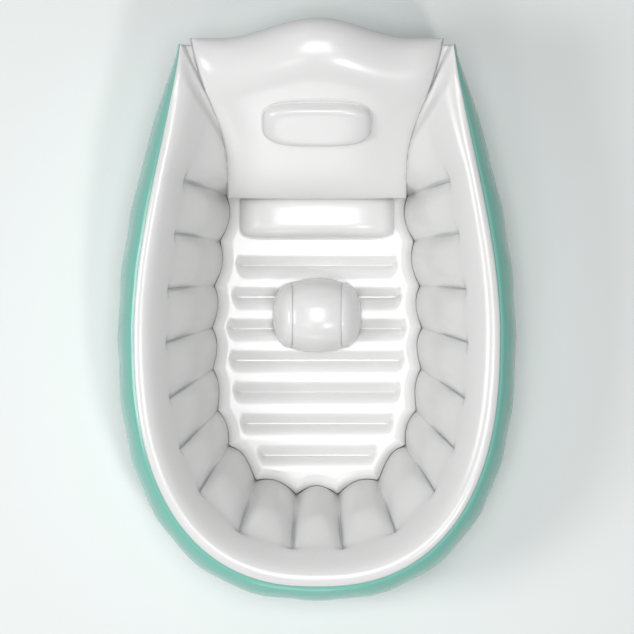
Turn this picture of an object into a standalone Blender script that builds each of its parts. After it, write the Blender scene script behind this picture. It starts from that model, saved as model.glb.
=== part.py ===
"""An inflatable baby bath, welded from vinyl sheet.

A ring-shaped wall chamber with nine creases down each side stands round a ribbed air floor.
The head end carries a leaning backrest with a headrest pillow, whose foot lies on a seat pillow,
and a saddle horn stands in the middle of the floor.

Metres, +Z up, the foot end towards -Y. While it is built, Y is measured from the line across the
basin at its widest, and everything hangs from one empty that brings the whole to its origin.
"""

import math

import bmesh
import bpy
from mathutils import Matrix, Vector

# Vinyl sheet, and the room that welded or touching pieces keep
SHEET = 0.0004
GAP = 0.0003
LAP = 0.006
LAP_SINK = 0.004
REST_GAP = 0.0012
FLANGE = 0.005
MERGE = 0.00003

# The basin line, where the inner wall meets the floor, seen from above
BASIN_HALF_WIDTH = 0.182
BASIN_FOOT_REACH = 0.2895
BASIN_CORNER_REACH = 0.290
BASIN_CORNER_HALF_WIDTH = 0.150
BASIN_BACK_BOW = 0.015
BASIN_FULLNESS = 2.75

# The rim seam stands outside the basin line by the wall's width
WALL_SIDE = 0.1135
WALL_FOOT = 0.1267
WALL_CORNER_SIDE = 0.068
WALL_CORNER_HEAD = 0.1665
RIM_BACK_BOW = 0.008
RIM_SETBACK = 0.015
RIM_FULLNESS = 2.4
SIDE_PULL_SHARE = 0.3

# The outer wall bulges past the rim seam
BULGE_SIDE = 0.0395
BULGE_FOOT = 0.0407
BULGE_CORNER_SIDE = 0.017
BULGE_CORNER_HEAD = 0.016
BULGE_BACK_BOW = 0.004
BULGE_PULL_SHARE = 0.56
BASE_SHARE = 0.3
WAVE_DEPTH = 0.003

# Heights of the wall
FLOOR_LINE_HEIGHT = 0.036
RIM_FOOT_HEIGHT = 0.235
RIM_SIDE_HEIGHT = 0.245
RIM_TIP_HEIGHT = 0.272

# The inner wall's profile: two handles, as shares of its width and height
SIDE_HANDLE_SHARES = ((0.10, 0.35), (0.62, 1.13))
BACK_HANDLE_SHARES = ((0.55, 0.25), (0.85, 0.80))

# Creases, as shares of each line from the foot's middle to the head corner
BASIN_CREASE_SHARES = (0.052, 0.162, 0.274, 0.367, 0.473, 0.577, 0.683, 0.797, 0.913)
RIM_CREASE_SHARES = (0.043, 0.141, 0.243, 0.328, 0.417, 0.519, 0.613, 0.710, 0.798)
CREASE_TOP_SHARE = 0.65
LOBE_DEPTH_FOOT = 0.0175
LOBE_DEPTH_SIDE = 0.0098
LOBE_DEPTH_HEAD = 0.014
LOBE_FOOT_END = 2.1
LOBE_SIDE_START = 3.4
LOBE_SIDE_END = 7.2
LOBE_FADE_SHARE = 0.25
STRAP_SETBACK = 0.0018

# How finely the ring is drawn
LINE_STEPS = 120
STEPS_PER_LOBE = 4
BACK_STEP_SHARES = (0.09, 0.25, 0.45, 0.7, 1)
INNER_ROW_SHARES = (0, 0.13, 0.26, 0.39, 0.52, 0.65, 0.83, 1)
OUTER_ROWS = 6

# The air floor, which lies against the wall's lobes, and its grooves
FLOOR_HEIGHT = 0.052
FLOOR_CLEARANCE = 0.0015
FLOOR_EDGE_RADIUS = 0.026
FLOOR_EDGE_FOOT = 0.026
FLOOR_SUMP = 0.028
CREASE_FILL_SHARE = 0.35
GROOVE_COUNT = 7
GROOVE_FIRST_Y = 0.1093
GROOVE_FOOT_MARGIN = 0.0525
GROOVE_FLOOR_HEIGHT = 0.040
GROOVE_WIDTH = 0.024
GROOVE_END_MARGIN = 0.032
GROOVE_FADE = 0.012
FLOOR_COLUMNS = 18
FLOOR_END_ROWS = 5

# How finely the pillows and the backrest are drawn
PILLOW_COLUMNS = 14
PILLOW_ROWS = 10
BACKREST_COLUMNS = 14
BACKREST_ROWS = 12

# The seat pillow, and the room from it to the nearest groove and to the air floor's edges
SEAT_GROOVE_ROOM = 0.0457
SEAT_SIDE_MARGIN = 0.020
SEAT_BACK_MARGIN = 0.016
SEAT_HEIGHT = 0.040
SEAT_FULLNESS = 3.4

# The backrest, leaning from the seat pillow to the head end's rim
BACKREST_FOOT_SETBACK = 0.067
BACKREST_LEAN = math.radians(42)
BACKREST_LENGTH = 0.310
BACKREST_FOOT_SIDE_ROOM = 0.003
BACKREST_HEAD_SIDE_ROOM = 0.024
BACKREST_BACK_ROOM = 0.004
BACKREST_FLARE = 2.5
BACKREST_ARCH = 0.041
BACKREST_ARCH_HALF_WIDTH = 0.157
BACKREST_ROLL_RADIUS = 0.0636
BACKREST_ROLL_FALL = math.radians(45)
BACKREST_FRONT_BULGE = 0.016
BACKREST_BACK_BULGE = 0.016
BACKREST_SIDE_FULLNESS = 5
BACKREST_END_FULLNESS = 6

# The headrest pillow
HEADREST_HALF_WIDTH = 0.088
HEADREST_LENGTH = 0.0795
HEADREST_FROM_FOOT = 0.171
HEADREST_THICKNESS = 0.022
HEADREST_FULLNESS = 5

# The horn: a band arched from front to back between two side gussets
HORN_Y = 0.023
HORN_HALF_LENGTH = 0.064
HORN_HEIGHT = 0.090
HORN_BAND_WIDTH = 0.081
HORN_BAND_FLARE = 0.008
HORN_GUSSET_BULGE = 0.036
HORN_ARCH_FULLNESS = 2.6
HORN_CROWN_LENGTH = 0.008
HORN_CROWN_HEIGHT = 0.006
HORN_BAND_COLUMNS = 6
HORN_ARCH_STEPS = 14
HORN_GUSSET_STEPS = 5

# The air valves, drawn about their own axis, which points out of the bath
VALVE_FLANGE_RADIUS = 0.016
VALVE_CUP_RADIUS = 0.0106
VALVE_CUP_DEPTH = 0.0033
VALVE_WALL = 0.001
STEM_RADIUS = 0.0075
STEM_CLEARANCE = 0.0003
STEM_BORE_RADIUS = 0.0043
STEM_LENGTH = 0.016
STEM_RIM_ROOM = 0.0013
STEM_RIM_THICKNESS = 0.001
CAP_RADIUS = 0.007
CAP_THICKNESS = 0.0012
CAP_STRAP_WIDTH = 0.004
CAP_STRAP_THICKNESS = 0.0006
NIB_CLEARANCE = 0.0003
NIB_TAPER = 0.0008
NIB_LENGTH = 0.004
FLAP_RADIUS = 0.0056
FLAP_THICKNESS = 0.0005
FLAP_HINGE_ROOM = 0.0008
FLAP_TAB_THICKNESS = 0.00025
ROUND_STEPS = 24

# Where the valves are
WALL_VALVE_X = 0.110
WALL_VALVE_HEIGHT = 0.125
WALL_VALVE_SINK = 0.0008
FLOOR_VALVE_X = 0.080

# The drain through the head end's wall, below the backrest
DRAIN_HEIGHT = 0.020
DRAIN_BORE_RADIUS = 0.0105
DRAIN_WALL = 0.0025
DRAIN_FLANGE_WIDTH = 0.003
DRAIN_FLANGE_THICKNESS = 0.0015
DRAIN_REACH_IN = 0.003
DRAIN_REACH_OUT = 0.007
DRAIN_FLANGE_SETBACK = 0.012
DRAIN_LUG_WIDTH = 0.008
DRAIN_LUG_THICKNESS = 0.0015
DRAIN_HINGE_RADIUS = 0.020
PLUG_RADIUS = 0.0135
PLUG_THICKNESS = 0.0025
PLUG_CLEARANCE = 0.0006
PLUG_NIB_TAPER = 0.0014
PLUG_NIB_LENGTH = 0.008
PLUG_STRAP_WIDTH = 0.006
PLUG_STRAP_THICKNESS = 0.00125

# How far a strap runs on into the disc that it holds, as a share of the disc's radius
STRAP_ROOT_SHARE = 0.2

# Colours, linear
WHITE_VINYL = (0.86, 0.86, 0.85)
MINT_VINYL = (0.36, 0.68, 0.60)
CLEAR_VINYL = (0.78, 0.82, 0.82)
MOULDED_VINYL = (0.82, 0.84, 0.83)

# Angles sharper than this are shaded as edges, and a mitre never grows past twice its sheet
SHARP_ANGLE = math.radians(35)
MITRE_LIMIT_SHARE = 0.5
HALVINGS = 40
SETTLING_STEPS = 8
FLOOR_OUTLINE_STEPS = 8

# Sizes that follow from those above
STEM_RIM_RADIUS = VALVE_CUP_RADIUS - STEM_RIM_ROOM
CAP_HINGE_RADIUS = STEM_RIM_RADIUS - CAP_STRAP_THICKNESS / 2
NIB_TOP_RADIUS = STEM_BORE_RADIUS - NIB_CLEARANCE
NIB_TIP_RADIUS = NIB_TOP_RADIUS - NIB_TAPER
FLAP_HINGE_RADIUS = FLAP_RADIUS + FLAP_HINGE_ROOM
DRAIN_OUTER_RADIUS = DRAIN_BORE_RADIUS + DRAIN_WALL
DRAIN_FLANGE_RADIUS = DRAIN_OUTER_RADIUS + DRAIN_FLANGE_WIDTH
PLUG_NIB_TOP_RADIUS = DRAIN_BORE_RADIUS - PLUG_CLEARANCE
PLUG_NIB_TIP_RADIUS = PLUG_NIB_TOP_RADIUS - PLUG_NIB_TAPER
BACKREST_FOOT_Y = BASIN_CORNER_REACH - BACKREST_FOOT_SETBACK
BACKREST_FOOT_HALF_WIDTH = BASIN_CORNER_HALF_WIDTH - BACKREST_FOOT_SIDE_ROOM
BACKREST_HEAD_HALF_WIDTH = BASIN_CORNER_HALF_WIDTH + WALL_CORNER_SIDE - BACKREST_HEAD_SIDE_ROOM
SEAT_FRONT_Y = GROOVE_FIRST_Y + SEAT_GROOVE_ROOM

BASE_TOP = SHEET + GAP
FOOT_MIDDLE = 0
HEAD_CORNER = len(BASIN_CREASE_SHARES) + 0.5
BACK_MIDDLE = HEAD_CORNER + 1


def smooth(x):
    """0 up to 1 with level ends."""
    x = min(max(x, 0), 1)
    return x * x * (3 - 2 * x)


def mix(a, b, share):
    return a + (b - a) * share


def signed_power(x, power):
    return math.copysign(abs(x) ** power, x)


class Line:
    """One closed line of the wall seen from above: round at the foot, cornered at the head."""

    def __init__(self, half_width, widest_y, foot_reach, corner, back_bow, fullness, pull_share):
        self.corner = Vector(corner)
        self.back_bow = back_bow
        self.points = []
        for i in range(LINE_STEPS):
            turn = math.pi / 2 * i / LINE_STEPS
            x = half_width * math.sin(turn) ** (2 / fullness)
            y = widest_y - foot_reach * math.cos(turn) ** (2 / fullness)
            self.points.append(Vector((x, y)))
        start = Vector((half_width, widest_y))
        reach = (self.corner.y - widest_y) / 3
        first = start + Vector((0, reach))
        last = self.corner + Vector((pull_share * (half_width - self.corner.x), -reach))
        for i in range(LINE_STEPS + 1):
            t = i / LINE_STEPS
            near = mix(start, first, t)
            middle = mix(first, last, t)
            far = mix(last, self.corner, t)
            self.points.append(mix(mix(near, middle, t), mix(middle, far, t), t))
        self.lengths = [0]
        for a, b in zip(self.points, self.points[1:]):
            self.lengths.append(self.lengths[-1] + (b - a).length)

    def at(self, share):
        """The point at a share of the way from the foot's middle to the head corner."""
        wanted = share * self.lengths[-1]
        i = 1
        while i < len(self.lengths) - 1 and self.lengths[i] < wanted:
            i += 1
        span = self.lengths[i] - self.lengths[i - 1]
        return mix(self.points[i - 1], self.points[i], (wanted - self.lengths[i - 1]) / span)

    def back(self, share):
        """The point at a share of the way from the head corner to the back's middle."""
        x = self.corner.x * (1 - share)
        return Vector((x, self.corner.y + self.back_bow * (1 - (1 - share) ** 2)))


BASIN = Line(
    BASIN_HALF_WIDTH,
    0,
    BASIN_FOOT_REACH,
    (BASIN_CORNER_HALF_WIDTH, BASIN_CORNER_REACH),
    BASIN_BACK_BOW,
    BASIN_FULLNESS,
    SIDE_PULL_SHARE,
)
RIM_CORNER = (BASIN_CORNER_HALF_WIDTH + WALL_CORNER_SIDE, BASIN_CORNER_REACH + WALL_CORNER_HEAD)
RIM = Line(
    BASIN_HALF_WIDTH + WALL_SIDE,
    -RIM_SETBACK,
    BASIN_FOOT_REACH + WALL_FOOT - RIM_SETBACK,
    RIM_CORNER,
    RIM_BACK_BOW,
    RIM_FULLNESS,
    SIDE_PULL_SHARE,
)
BULGE = Line(
    BASIN_HALF_WIDTH + WALL_SIDE + BULGE_SIDE,
    -RIM_SETBACK,
    BASIN_FOOT_REACH + WALL_FOOT + BULGE_FOOT - RIM_SETBACK,
    (RIM_CORNER[0] + BULGE_CORNER_SIDE, RIM_CORNER[1] + BULGE_CORNER_HEAD),
    BULGE_BACK_BOW,
    RIM_FULLNESS,
    BULGE_PULL_SHARE,
)


def plan_point(line, crease_shares, station):
    """Where a station lies on a line. Creases are at stations 0.5, 1.5 and so on."""
    side = math.copysign(1, station)
    station = abs(station)
    if station > HEAD_CORNER:
        point = line.back(station - HEAD_CORNER)
    else:
        shares = (0, *crease_shares, 1)
        places = (0, *(i + 0.5 for i in range(len(crease_shares))), HEAD_CORNER)
        i = 1
        while station > places[i]:
            i += 1
        along = (station - places[i - 1]) / (places[i] - places[i - 1])
        point = line.at(mix(shares[i - 1], shares[i], along))
    return Vector((side * point.x, point.y))


def lobe(station):
    """How full a lobe is: 1 in its middle, 0 at a crease and along the head end's wall."""
    if abs(station) >= HEAD_CORNER:
        return 0
    from_middle = abs(station + 0.5) % 1 - 0.5
    return 1 - (2 * from_middle) ** 2


def lobe_depth(station):
    """The lobes are deepest round the foot."""
    station = abs(station)
    to_side = smooth((station - LOBE_FOOT_END) / (LOBE_SIDE_START - LOBE_FOOT_END))
    to_head = smooth((station - LOBE_SIDE_END) / (HEAD_CORNER - LOBE_SIDE_END))
    return mix(mix(LOBE_DEPTH_FOOT, LOBE_DEPTH_SIDE, to_side), LOBE_DEPTH_HEAD, to_head)


def backrest_half_width(up_share):
    return mix(BACKREST_FOOT_HALF_WIDTH, BACKREST_HEAD_HALF_WIDTH, up_share**BACKREST_FLARE)


def backrest_reach(across):
    """How far up the backrest its top edge is: it arches in the middle."""
    bump = (1 + math.cos(math.pi * min(abs(across) / BACKREST_ARCH_HALF_WIDTH, 1))) / 2
    return BACKREST_LENGTH + BACKREST_ARCH * bump


def backrest_outline(across_share, up_share):
    """Where a point of the backrest lies when it is laid flat, across it and up from its foot."""
    across = across_share * backrest_half_width(up_share)
    return across, up_share * backrest_reach(across)


def backrest_place(across, up, out):
    """A place given across the backrest, up it and out of its front, among the other pieces.

    The backrest leans straight back, then rolls over along its top edge.
    """
    radius = BACKREST_ROLL_RADIUS
    straight = backrest_reach(across) - radius * (BACKREST_LEAN + BACKREST_ROLL_FALL)
    turn = max(up - straight, 0) / radius
    straight = min(up, straight)
    slope = BACKREST_LEAN - turn
    lift = FLANGE * math.sin(BACKREST_LEAN) + 2 * SHEET + REST_GAP
    along = straight * math.cos(BACKREST_LEAN) + radius * (math.sin(BACKREST_LEAN) - math.sin(slope))
    rise = straight * math.sin(BACKREST_LEAN) + radius * (math.cos(slope) - math.cos(BACKREST_LEAN))
    y = BACKREST_FOOT_Y + along - out * math.sin(slope)
    return Vector((across, y, FLOOR_HEIGHT + SEAT_HEIGHT + lift + rise + out * math.cos(slope)))


def swell(across_share, up_share):
    """How far a backrest sheet is blown out, from 0 at its seam to 1."""
    sides = (1 - abs(across_share) ** BACKREST_SIDE_FULLNESS) ** 0.5
    ends = (1 - abs(2 * up_share - 1) ** BACKREST_END_FULLNESS) ** 0.5
    return sides * ends


def front_height(across_share, up_share):
    return BACKREST_FRONT_BULGE * swell(across_share, up_share)


def back_depth(across_share, up_share):
    sides = (1 - abs(across_share) ** BACKREST_SIDE_FULLNESS) ** 0.5
    return BACKREST_BACK_BULGE * sides * max(math.sin(math.pi * up_share), 0)


def backrest_underside(across, y):
    """How high the backrest's back sheet is above a place, or above the line of its top edge."""
    low = 0.5
    high = 1
    for _ in range(HALVINGS):
        up_share = (low + high) / 2
        across_share = min(abs(across) / backrest_half_width(up_share), 1)
        place_across, up = backrest_outline(across_share, up_share)
        place = backrest_place(place_across, up, -back_depth(across_share, up_share))
        if place.y < y:
            low = up_share
        else:
            high = up_share
    return place.z


def rim_height(station):
    station = abs(station)
    if station > HEAD_CORNER:
        rim = RIM.back(station - HEAD_CORNER)
        reach = BACKREST_HEAD_HALF_WIDTH + FLANGE
        under = backrest_underside(rim.x, rim.y) - FLANGE - SHEET - REST_GAP
        tip = smooth((rim.x - reach) / (RIM.corner.x - reach))
        return mix(under, RIM_TIP_HEIGHT, tip)
    foot = mix(RIM_FOOT_HEIGHT, RIM_SIDE_HEIGHT, smooth(2 * station / HEAD_CORNER))
    return foot + (RIM_TIP_HEIGHT - RIM_SIDE_HEIGHT) * smooth(2 * station / HEAD_CORNER - 1)


def inner_point(station, share):
    """A point of the inner wall, from the basin line at 0 to the rim seam at 1."""
    low = plan_point(BASIN, BASIN_CREASE_SHARES, station)
    high = plan_point(RIM, RIM_CREASE_SHARES, station)
    width = (high - low).length
    out = (high - low) / width
    top = rim_height(station)
    rise = top - FLOOR_LINE_HEIGHT
    behind = smooth(abs(station) - HEAD_CORNER + 1)
    handles = []
    for side_shares, back_shares in zip(SIDE_HANDLE_SHARES, BACK_HANDLE_SHARES):
        x = width * mix(side_shares[0], back_shares[0], behind)
        z = FLOOR_LINE_HEIGHT + rise * mix(side_shares[1], back_shares[1], behind)
        handles.append(Vector((x, z)))
    a = Vector((0, FLOOR_LINE_HEIGHT))
    d = Vector((width, top))
    first = mix(a, handles[0], share)
    middle = mix(handles[0], handles[1], share)
    last = mix(handles[1], d, share)
    left = mix(first, middle, share)
    right = mix(middle, last, share)
    place = mix(left, right, share)
    along = (right - left).normalized()
    fade = smooth((CREASE_TOP_SHARE - share) / (CREASE_TOP_SHARE - LOBE_FADE_SHARE))
    place += Vector((-along.y, along.x)) * lobe_depth(station) * lobe(station) * fade
    plan = low + out * place.x
    height = place.y
    if behind == 1 and abs(plan.x) < BACKREST_HEAD_HALF_WIDTH:
        under = backrest_underside(plan.x, plan.y) - SHEET - REST_GAP
        height = min(height, under - BACKREST_BACK_ROOM * (1 - share))
    return Vector((plan.x, plan.y, height))


def outer_point(station, turn_share):
    """A point of the outer wall, from the rim seam at 0 over the bulge to the base seam at 1."""
    rim = plan_point(RIM, RIM_CREASE_SHARES, station)
    bulge = plan_point(BULGE, RIM_CREASE_SHARES, station)
    out = (bulge - rim).normalized()
    wave = WAVE_DEPTH * (1 - lobe(station)) if abs(station) < HEAD_CORNER else 0
    to_base = (bulge - rim) * BASE_SHARE
    turn = math.pi * turn_share
    sideways = bulge - rim - to_base / 2 - out * wave
    plan = rim + sideways * math.sin(turn) + to_base * (1 - math.cos(turn)) / 2
    z = BASE_TOP + (rim_height(station) - BASE_TOP) * (1 + math.cos(turn)) / 2
    return Vector((plan.x, plan.y, z))


def stations():
    """The ring's stations, from the back's middle round by the left, the foot and the right."""
    steps = round(HEAD_CORNER * STEPS_PER_LOBE)
    right = [HEAD_CORNER * i / steps for i in range(steps)]
    right += [HEAD_CORNER + share for share in (0, *BACK_STEP_SHARES)]
    return [-s for s in reversed(right[1:])] + right


def scene_cleared():
    for thing in list(bpy.data.objects):
        bpy.data.objects.remove(thing, do_unlink=True)


def vinyl(name, colour, roughness):
    material = bpy.data.materials.new(name)
    material.use_nodes = True
    shader = material.node_tree.nodes["Principled BSDF"]
    shader.inputs["Base Color"].default_value = (*colour, 1)
    shader.inputs["Roughness"].default_value = roughness
    shader.inputs["Metallic"].default_value = 0
    material.diffuse_color = (*colour, 1)
    return material


def object_from(name, bm, material, carrier, pivot=(0, 0, 0)):
    """An object made from a mesh, with its origin at a pivot given in its carrier's space."""
    bmesh.ops.translate(bm, vec=-Vector(pivot), verts=bm.verts)
    mesh = bpy.data.meshes.new(name)
    bm.to_mesh(mesh)
    bm.free()
    mesh.shade_smooth()
    mesh.set_sharp_from_angle(angle=SHARP_ANGLE)
    thing = bpy.data.objects.new(name, mesh)
    bpy.context.collection.objects.link(thing)
    thing.data.materials.append(material)
    thing.parent = carrier
    thing.location = pivot
    return thing


def surface(columns, rows, place, turned_over=False):
    """A grid of faces whose points are put in place by column and row."""
    bm = bmesh.new()
    bmesh.ops.create_grid(bm, x_segments=columns, y_segments=rows, size=1)
    for vert in bm.verts:
        column = round((vert.co.x + 1) / 2 * columns)
        row = round((vert.co.y + 1) / 2 * rows)
        vert.co = place(column, row)
    bmesh.ops.remove_doubles(bm, verts=bm.verts, dist=MERGE)
    if turned_over:
        bmesh.ops.reverse_faces(bm, faces=bm.faces)
    bm.normal_update()
    return bm


def thickened(thing, thickness=SHEET, offset=-1):
    """A sheet's thickness, to the back of its faces."""
    modifier = thing.modifiers.new("sheet", "SOLIDIFY")
    modifier.thickness = thickness
    modifier.offset = offset
    modifier.use_even_offset = True
    return thing


def pierced(thing, cutter):
    modifier = thing.modifiers.new("hole", "BOOLEAN")
    modifier.object = cutter
    modifier.operation = "DIFFERENCE"
    modifier.solver = "EXACT"


def turned(profile, steps=ROUND_STEPS):
    """A round piece from its closed profile of (radius, height) points."""
    bm = bmesh.new()
    verts = [bm.verts.new((radius, 0, height)) for radius, height in profile]
    edges = [bm.edges.new(pair) for pair in zip(verts, verts[1:] + verts[:1])]
    bmesh.ops.spin(
        bm,
        geom=verts + edges,
        cent=(0, 0, 0),
        axis=(0, 0, 1),
        angle=math.tau,
        steps=steps,
        use_merge=True,
    )
    bmesh.ops.remove_doubles(bm, verts=bm.verts, dist=MERGE)
    bmesh.ops.recalc_face_normals(bm, faces=bm.faces)
    return bm


def disc_profile(*points):
    """Turned into a solid with no bore: the profile starts and ends on the axis."""
    return [(0, points[0][1]), *points, (0, points[-1][1])]


def cutter_rod(name, radius, length, height, carrier):
    """A guide that a hole is cut with, lying along its carrier's Z with its middle at a height."""
    bm = bmesh.new()
    bmesh.ops.create_cone(
        bm,
        cap_ends=True,
        segments=ROUND_STEPS,
        radius1=radius,
        radius2=radius,
        depth=length,
        matrix=Matrix.Translation((0, 0, height)),
    )
    mesh = bpy.data.meshes.new(name)
    bm.to_mesh(mesh)
    bm.free()
    thing = bpy.data.objects.new(name, mesh)
    bpy.context.collection.objects.link(thing)
    thing.parent = carrier
    thing.hide_render = True
    thing.display_type = "WIRE"
    return thing


def box(low, high):
    bm = bmesh.new()
    bmesh.ops.create_cube(bm, size=1)
    low = Vector(low)
    high = Vector(high)
    for vert in bm.verts:
        share = vert.co + Vector((0.5, 0.5, 0.5))
        vert.co = Vector(mix(a, b, s) for a, b, s in zip(low, high, share))
    return bm


def hinge_strap(hinge_radius, disc_radius, width, thickness):
    """The flat strap from a hinge line, at its origin, into the disc that it holds."""
    root = hinge_radius - disc_radius * (1 - STRAP_ROOT_SHARE)
    half = thickness / 2
    return box((-half, -width / 2, -half), (root, width / 2, half))


def joined(thing, name, bm, carrier):
    """Adds another shape to a moulded piece."""
    mesh = bpy.data.meshes.new(name)
    bm.to_mesh(mesh)
    bm.free()
    helper = bpy.data.objects.new(name, mesh)
    bpy.context.collection.objects.link(helper)
    helper.parent = carrier
    helper.location = thing.location
    helper.hide_render = True
    helper.display_type = "WIRE"
    modifier = thing.modifiers.new(name, "BOOLEAN")
    modifier.object = helper
    modifier.operation = "UNION"
    modifier.solver = "EXACT"


def make_wall(carrier, white, mint, clear):
    """The two sheets of the ring chamber, and the straps inside it that hold the creases."""
    ring = stations()
    low_rows = 3

    def inner_place(column, row):
        station = ring[column]
        if row >= low_rows:
            return inner_point(station, INNER_ROW_SHARES[row - low_rows])
        foot = inner_point(station, 0)
        line = plan_point(BASIN, BASIN_CREASE_SHARES, station)
        out = plan_point(RIM, RIM_CREASE_SHARES, station) - line
        if row == 2:
            middle = mix(Vector((line.x, line.y)), Vector((foot.x, foot.y)), 0.5)
            return Vector((middle.x, middle.y, FLOOR_LINE_HEIGHT / 2))
        bottom = Vector((line.x, line.y, BASE_TOP + SHEET))
        return bottom if row == 1 else bottom + out.to_3d().normalized() * FLANGE

    rows = low_rows + len(INNER_ROW_SHARES) - 1
    inner = surface(len(ring) - 1, rows, inner_place, turned_over=True)
    seam_verts = [v for v in inner.verts if v.is_boundary and v.co.z > FLOOR_LINE_HEIGHT]
    rim = [(vert.co.copy(), vert.normal / mitre(vert)) for vert in seam_verts]
    inner_sheet = thickened(object_from("wall_inner_sheet", inner, white, carrier))

    def outer_place(column, row):
        station = ring[column]
        if row == 0:
            seam = inner_point(station, 1)
            before = inner_point(station, INNER_ROW_SHARES[-2])
            return seam + (before - seam).normalized() * LAP
        if row <= OUTER_ROWS + 1:
            return outer_point(station, (row - 1) / OUTER_ROWS)
        base = outer_point(station, 1)
        rim = outer_point(station, 0)
        inwards = Vector((rim.x - base.x, rim.y - base.y, 0)).normalized()
        return base + inwards * LAP

    outer = surface(len(ring) - 1, OUTER_ROWS + 2, outer_place, turned_over=True)
    moves = []
    for vert in outer.verts:
        seam = min(rim, key=lambda place: (place[0] - vert.co).length)
        if (seam[0] - vert.co).length < LAP + GAP:
            moves.append((vert, seam[1] * (SHEET + GAP)))
        elif vert.co.z > BASE_TOP + GAP:
            moves.append((vert, vert.normal * (SHEET + GAP) / mitre(vert)))
    for vert, move in moves:
        vert.co -= move
        if vert.is_boundary:
            vert.co.z -= LAP_SINK
    outer_sheet = thickened(object_from("wall_outer_sheet", outer, mint, carrier))

    crease_rows = [share for share in INNER_ROW_SHARES if share <= CREASE_TOP_SHARE]
    creases = [i + 0.5 for i in range(len(BASIN_CREASE_SHARES))]
    numbered = [-s for s in reversed(creases)] + creases
    for number, station in enumerate(numbered, start=1):

        def strap_place(column, row, station=station):
            inside = inner_point(station, crease_rows[row])
            outside = outer_at_height(station, inside.z)
            way = Vector((outside.x - inside.x, outside.y - inside.y, 0)).normalized()
            if column == 0:
                return inside + way * STRAP_SETBACK
            return outside - way * STRAP_SETBACK

        strap = surface(1, len(crease_rows) - 1, strap_place)
        name = f"wall_strap_{number:02d}"
        thickened(object_from(name, strap, clear, carrier), offset=0)
    return inner_sheet, outer_sheet


def mitre(vert):
    """How much less a move along a point's normal carries its faces than the point itself."""
    return max(min(vert.normal.dot(face.normal) for face in vert.link_faces), MITRE_LIMIT_SHARE)


def outer_at_height(station, height):
    """Where the outer wall's faces are at a height, on a station."""
    rows = [outer_point(station, i / OUTER_ROWS) for i in range(OUTER_ROWS + 1)]
    for upper, lower in zip(rows, rows[1:]):
        if lower.z <= height <= upper.z:
            return mix(lower, upper, (height - lower.z) / (upper.z - lower.z))
    return rows[-1]


def make_base(carrier, mint):
    """The flat sheet that the bath stands on."""
    ring = stations()[:-1]
    bm = bmesh.new()
    verts = []
    for station in ring:
        place = outer_point(station, 1)
        verts.append(bm.verts.new((place.x, place.y, SHEET)))
    face = bm.faces.new(verts)
    bm.normal_update()
    if face.normal.z < 0:
        face.normal_flip()
    return thickened(object_from("base_sheet", bm, mint, carrier))


def floor_edge(station):
    """The air floor's outline, which follows the wall's lobes and rounds off their creases."""
    line = plan_point(BASIN, BASIN_CREASE_SHARES, station)
    out = (plan_point(RIM, RIM_CREASE_SHARES, station) - line).normalized()
    fullness = mix(CREASE_FILL_SHARE, 1, lobe(station))
    return line - out * (lobe_depth(station) * fullness + FLOOR_CLEARANCE)


def floor_outline():
    """The air floor's outline on the right, from the foot's middle to the head corner."""
    steps = round(HEAD_CORNER * FLOOR_OUTLINE_STEPS)
    return [floor_edge(HEAD_CORNER * i / steps) for i in range(steps + 1)]


FLOOR_OUTLINE = floor_outline()
FLOOR_HEAD_Y = BASIN_CORNER_REACH + BASIN_BACK_BOW - FLOOR_SUMP


def crossing(a, b, wanted, axis):
    """Where the line from a to b reaches a value along one axis."""
    return mix(a, b, (wanted - a[axis]) / (b[axis] - a[axis]))


def floor_half_width(y):
    """Half the air floor's width across a line of the bath."""
    for a, b in reversed(list(zip(FLOOR_OUTLINE, FLOOR_OUTLINE[1:]))):
        if a.y <= y <= b.y:
            return crossing(a, b, y, 1).x
    return FLOOR_OUTLINE[-1].x


def floor_foot_y(x):
    """Where the air floor's foot end is, on a line along the bath."""
    for a, b in zip(FLOOR_OUTLINE, FLOOR_OUTLINE[1:]):
        if a.x <= abs(x) <= b.x:
            return crossing(a, b, abs(x), 0).y
    return FLOOR_OUTLINE[-1].y


def floor_edge_distance(x, y):
    """How far a place on the air floor is from its edge."""
    place = Vector((abs(x), y))
    least = FLOOR_HEAD_Y - y
    for a, b in zip(FLOOR_OUTLINE, FLOOR_OUTLINE[1:]):
        along = b - a
        share = min(max((place - a).dot(along) / along.length_squared, 0), 1)
        least = min(least, (place - mix(a, b, share)).length)
    return least


def groove_lines():
    """Where the grooves lie along the bath, from the head side to the foot."""
    last = floor_foot_y(0) + GROOVE_FOOT_MARGIN
    return [mix(GROOVE_FIRST_Y, last, i / (GROOVE_COUNT - 1)) for i in range(GROOVE_COUNT)]


def groove_half_length(y):
    return floor_half_width(y) - GROOVE_END_MARGIN


def floor_height(x, y):
    """The air floor's top, rounded down at its edge and drawn in along its grooves."""
    edge = min(max(floor_edge_distance(x, y) / FLOOR_EDGE_RADIUS, 0), 1)
    rise = math.sqrt(1 - (1 - edge) ** 2)
    dip = 0
    for line in groove_lines():
        across = abs(y - line) / (GROOVE_WIDTH / 2)
        along = (groove_half_length(line) - abs(x)) / GROOVE_FADE
        if across < 1:
            dip = max(dip, (1 + math.cos(math.pi * across)) / 2 * smooth(along))
    top = FLOOR_HEIGHT - (FLOOR_HEIGHT - GROOVE_FLOOR_HEIGHT) * dip
    return mix(FLOOR_EDGE_FOOT, top, rise)


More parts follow.
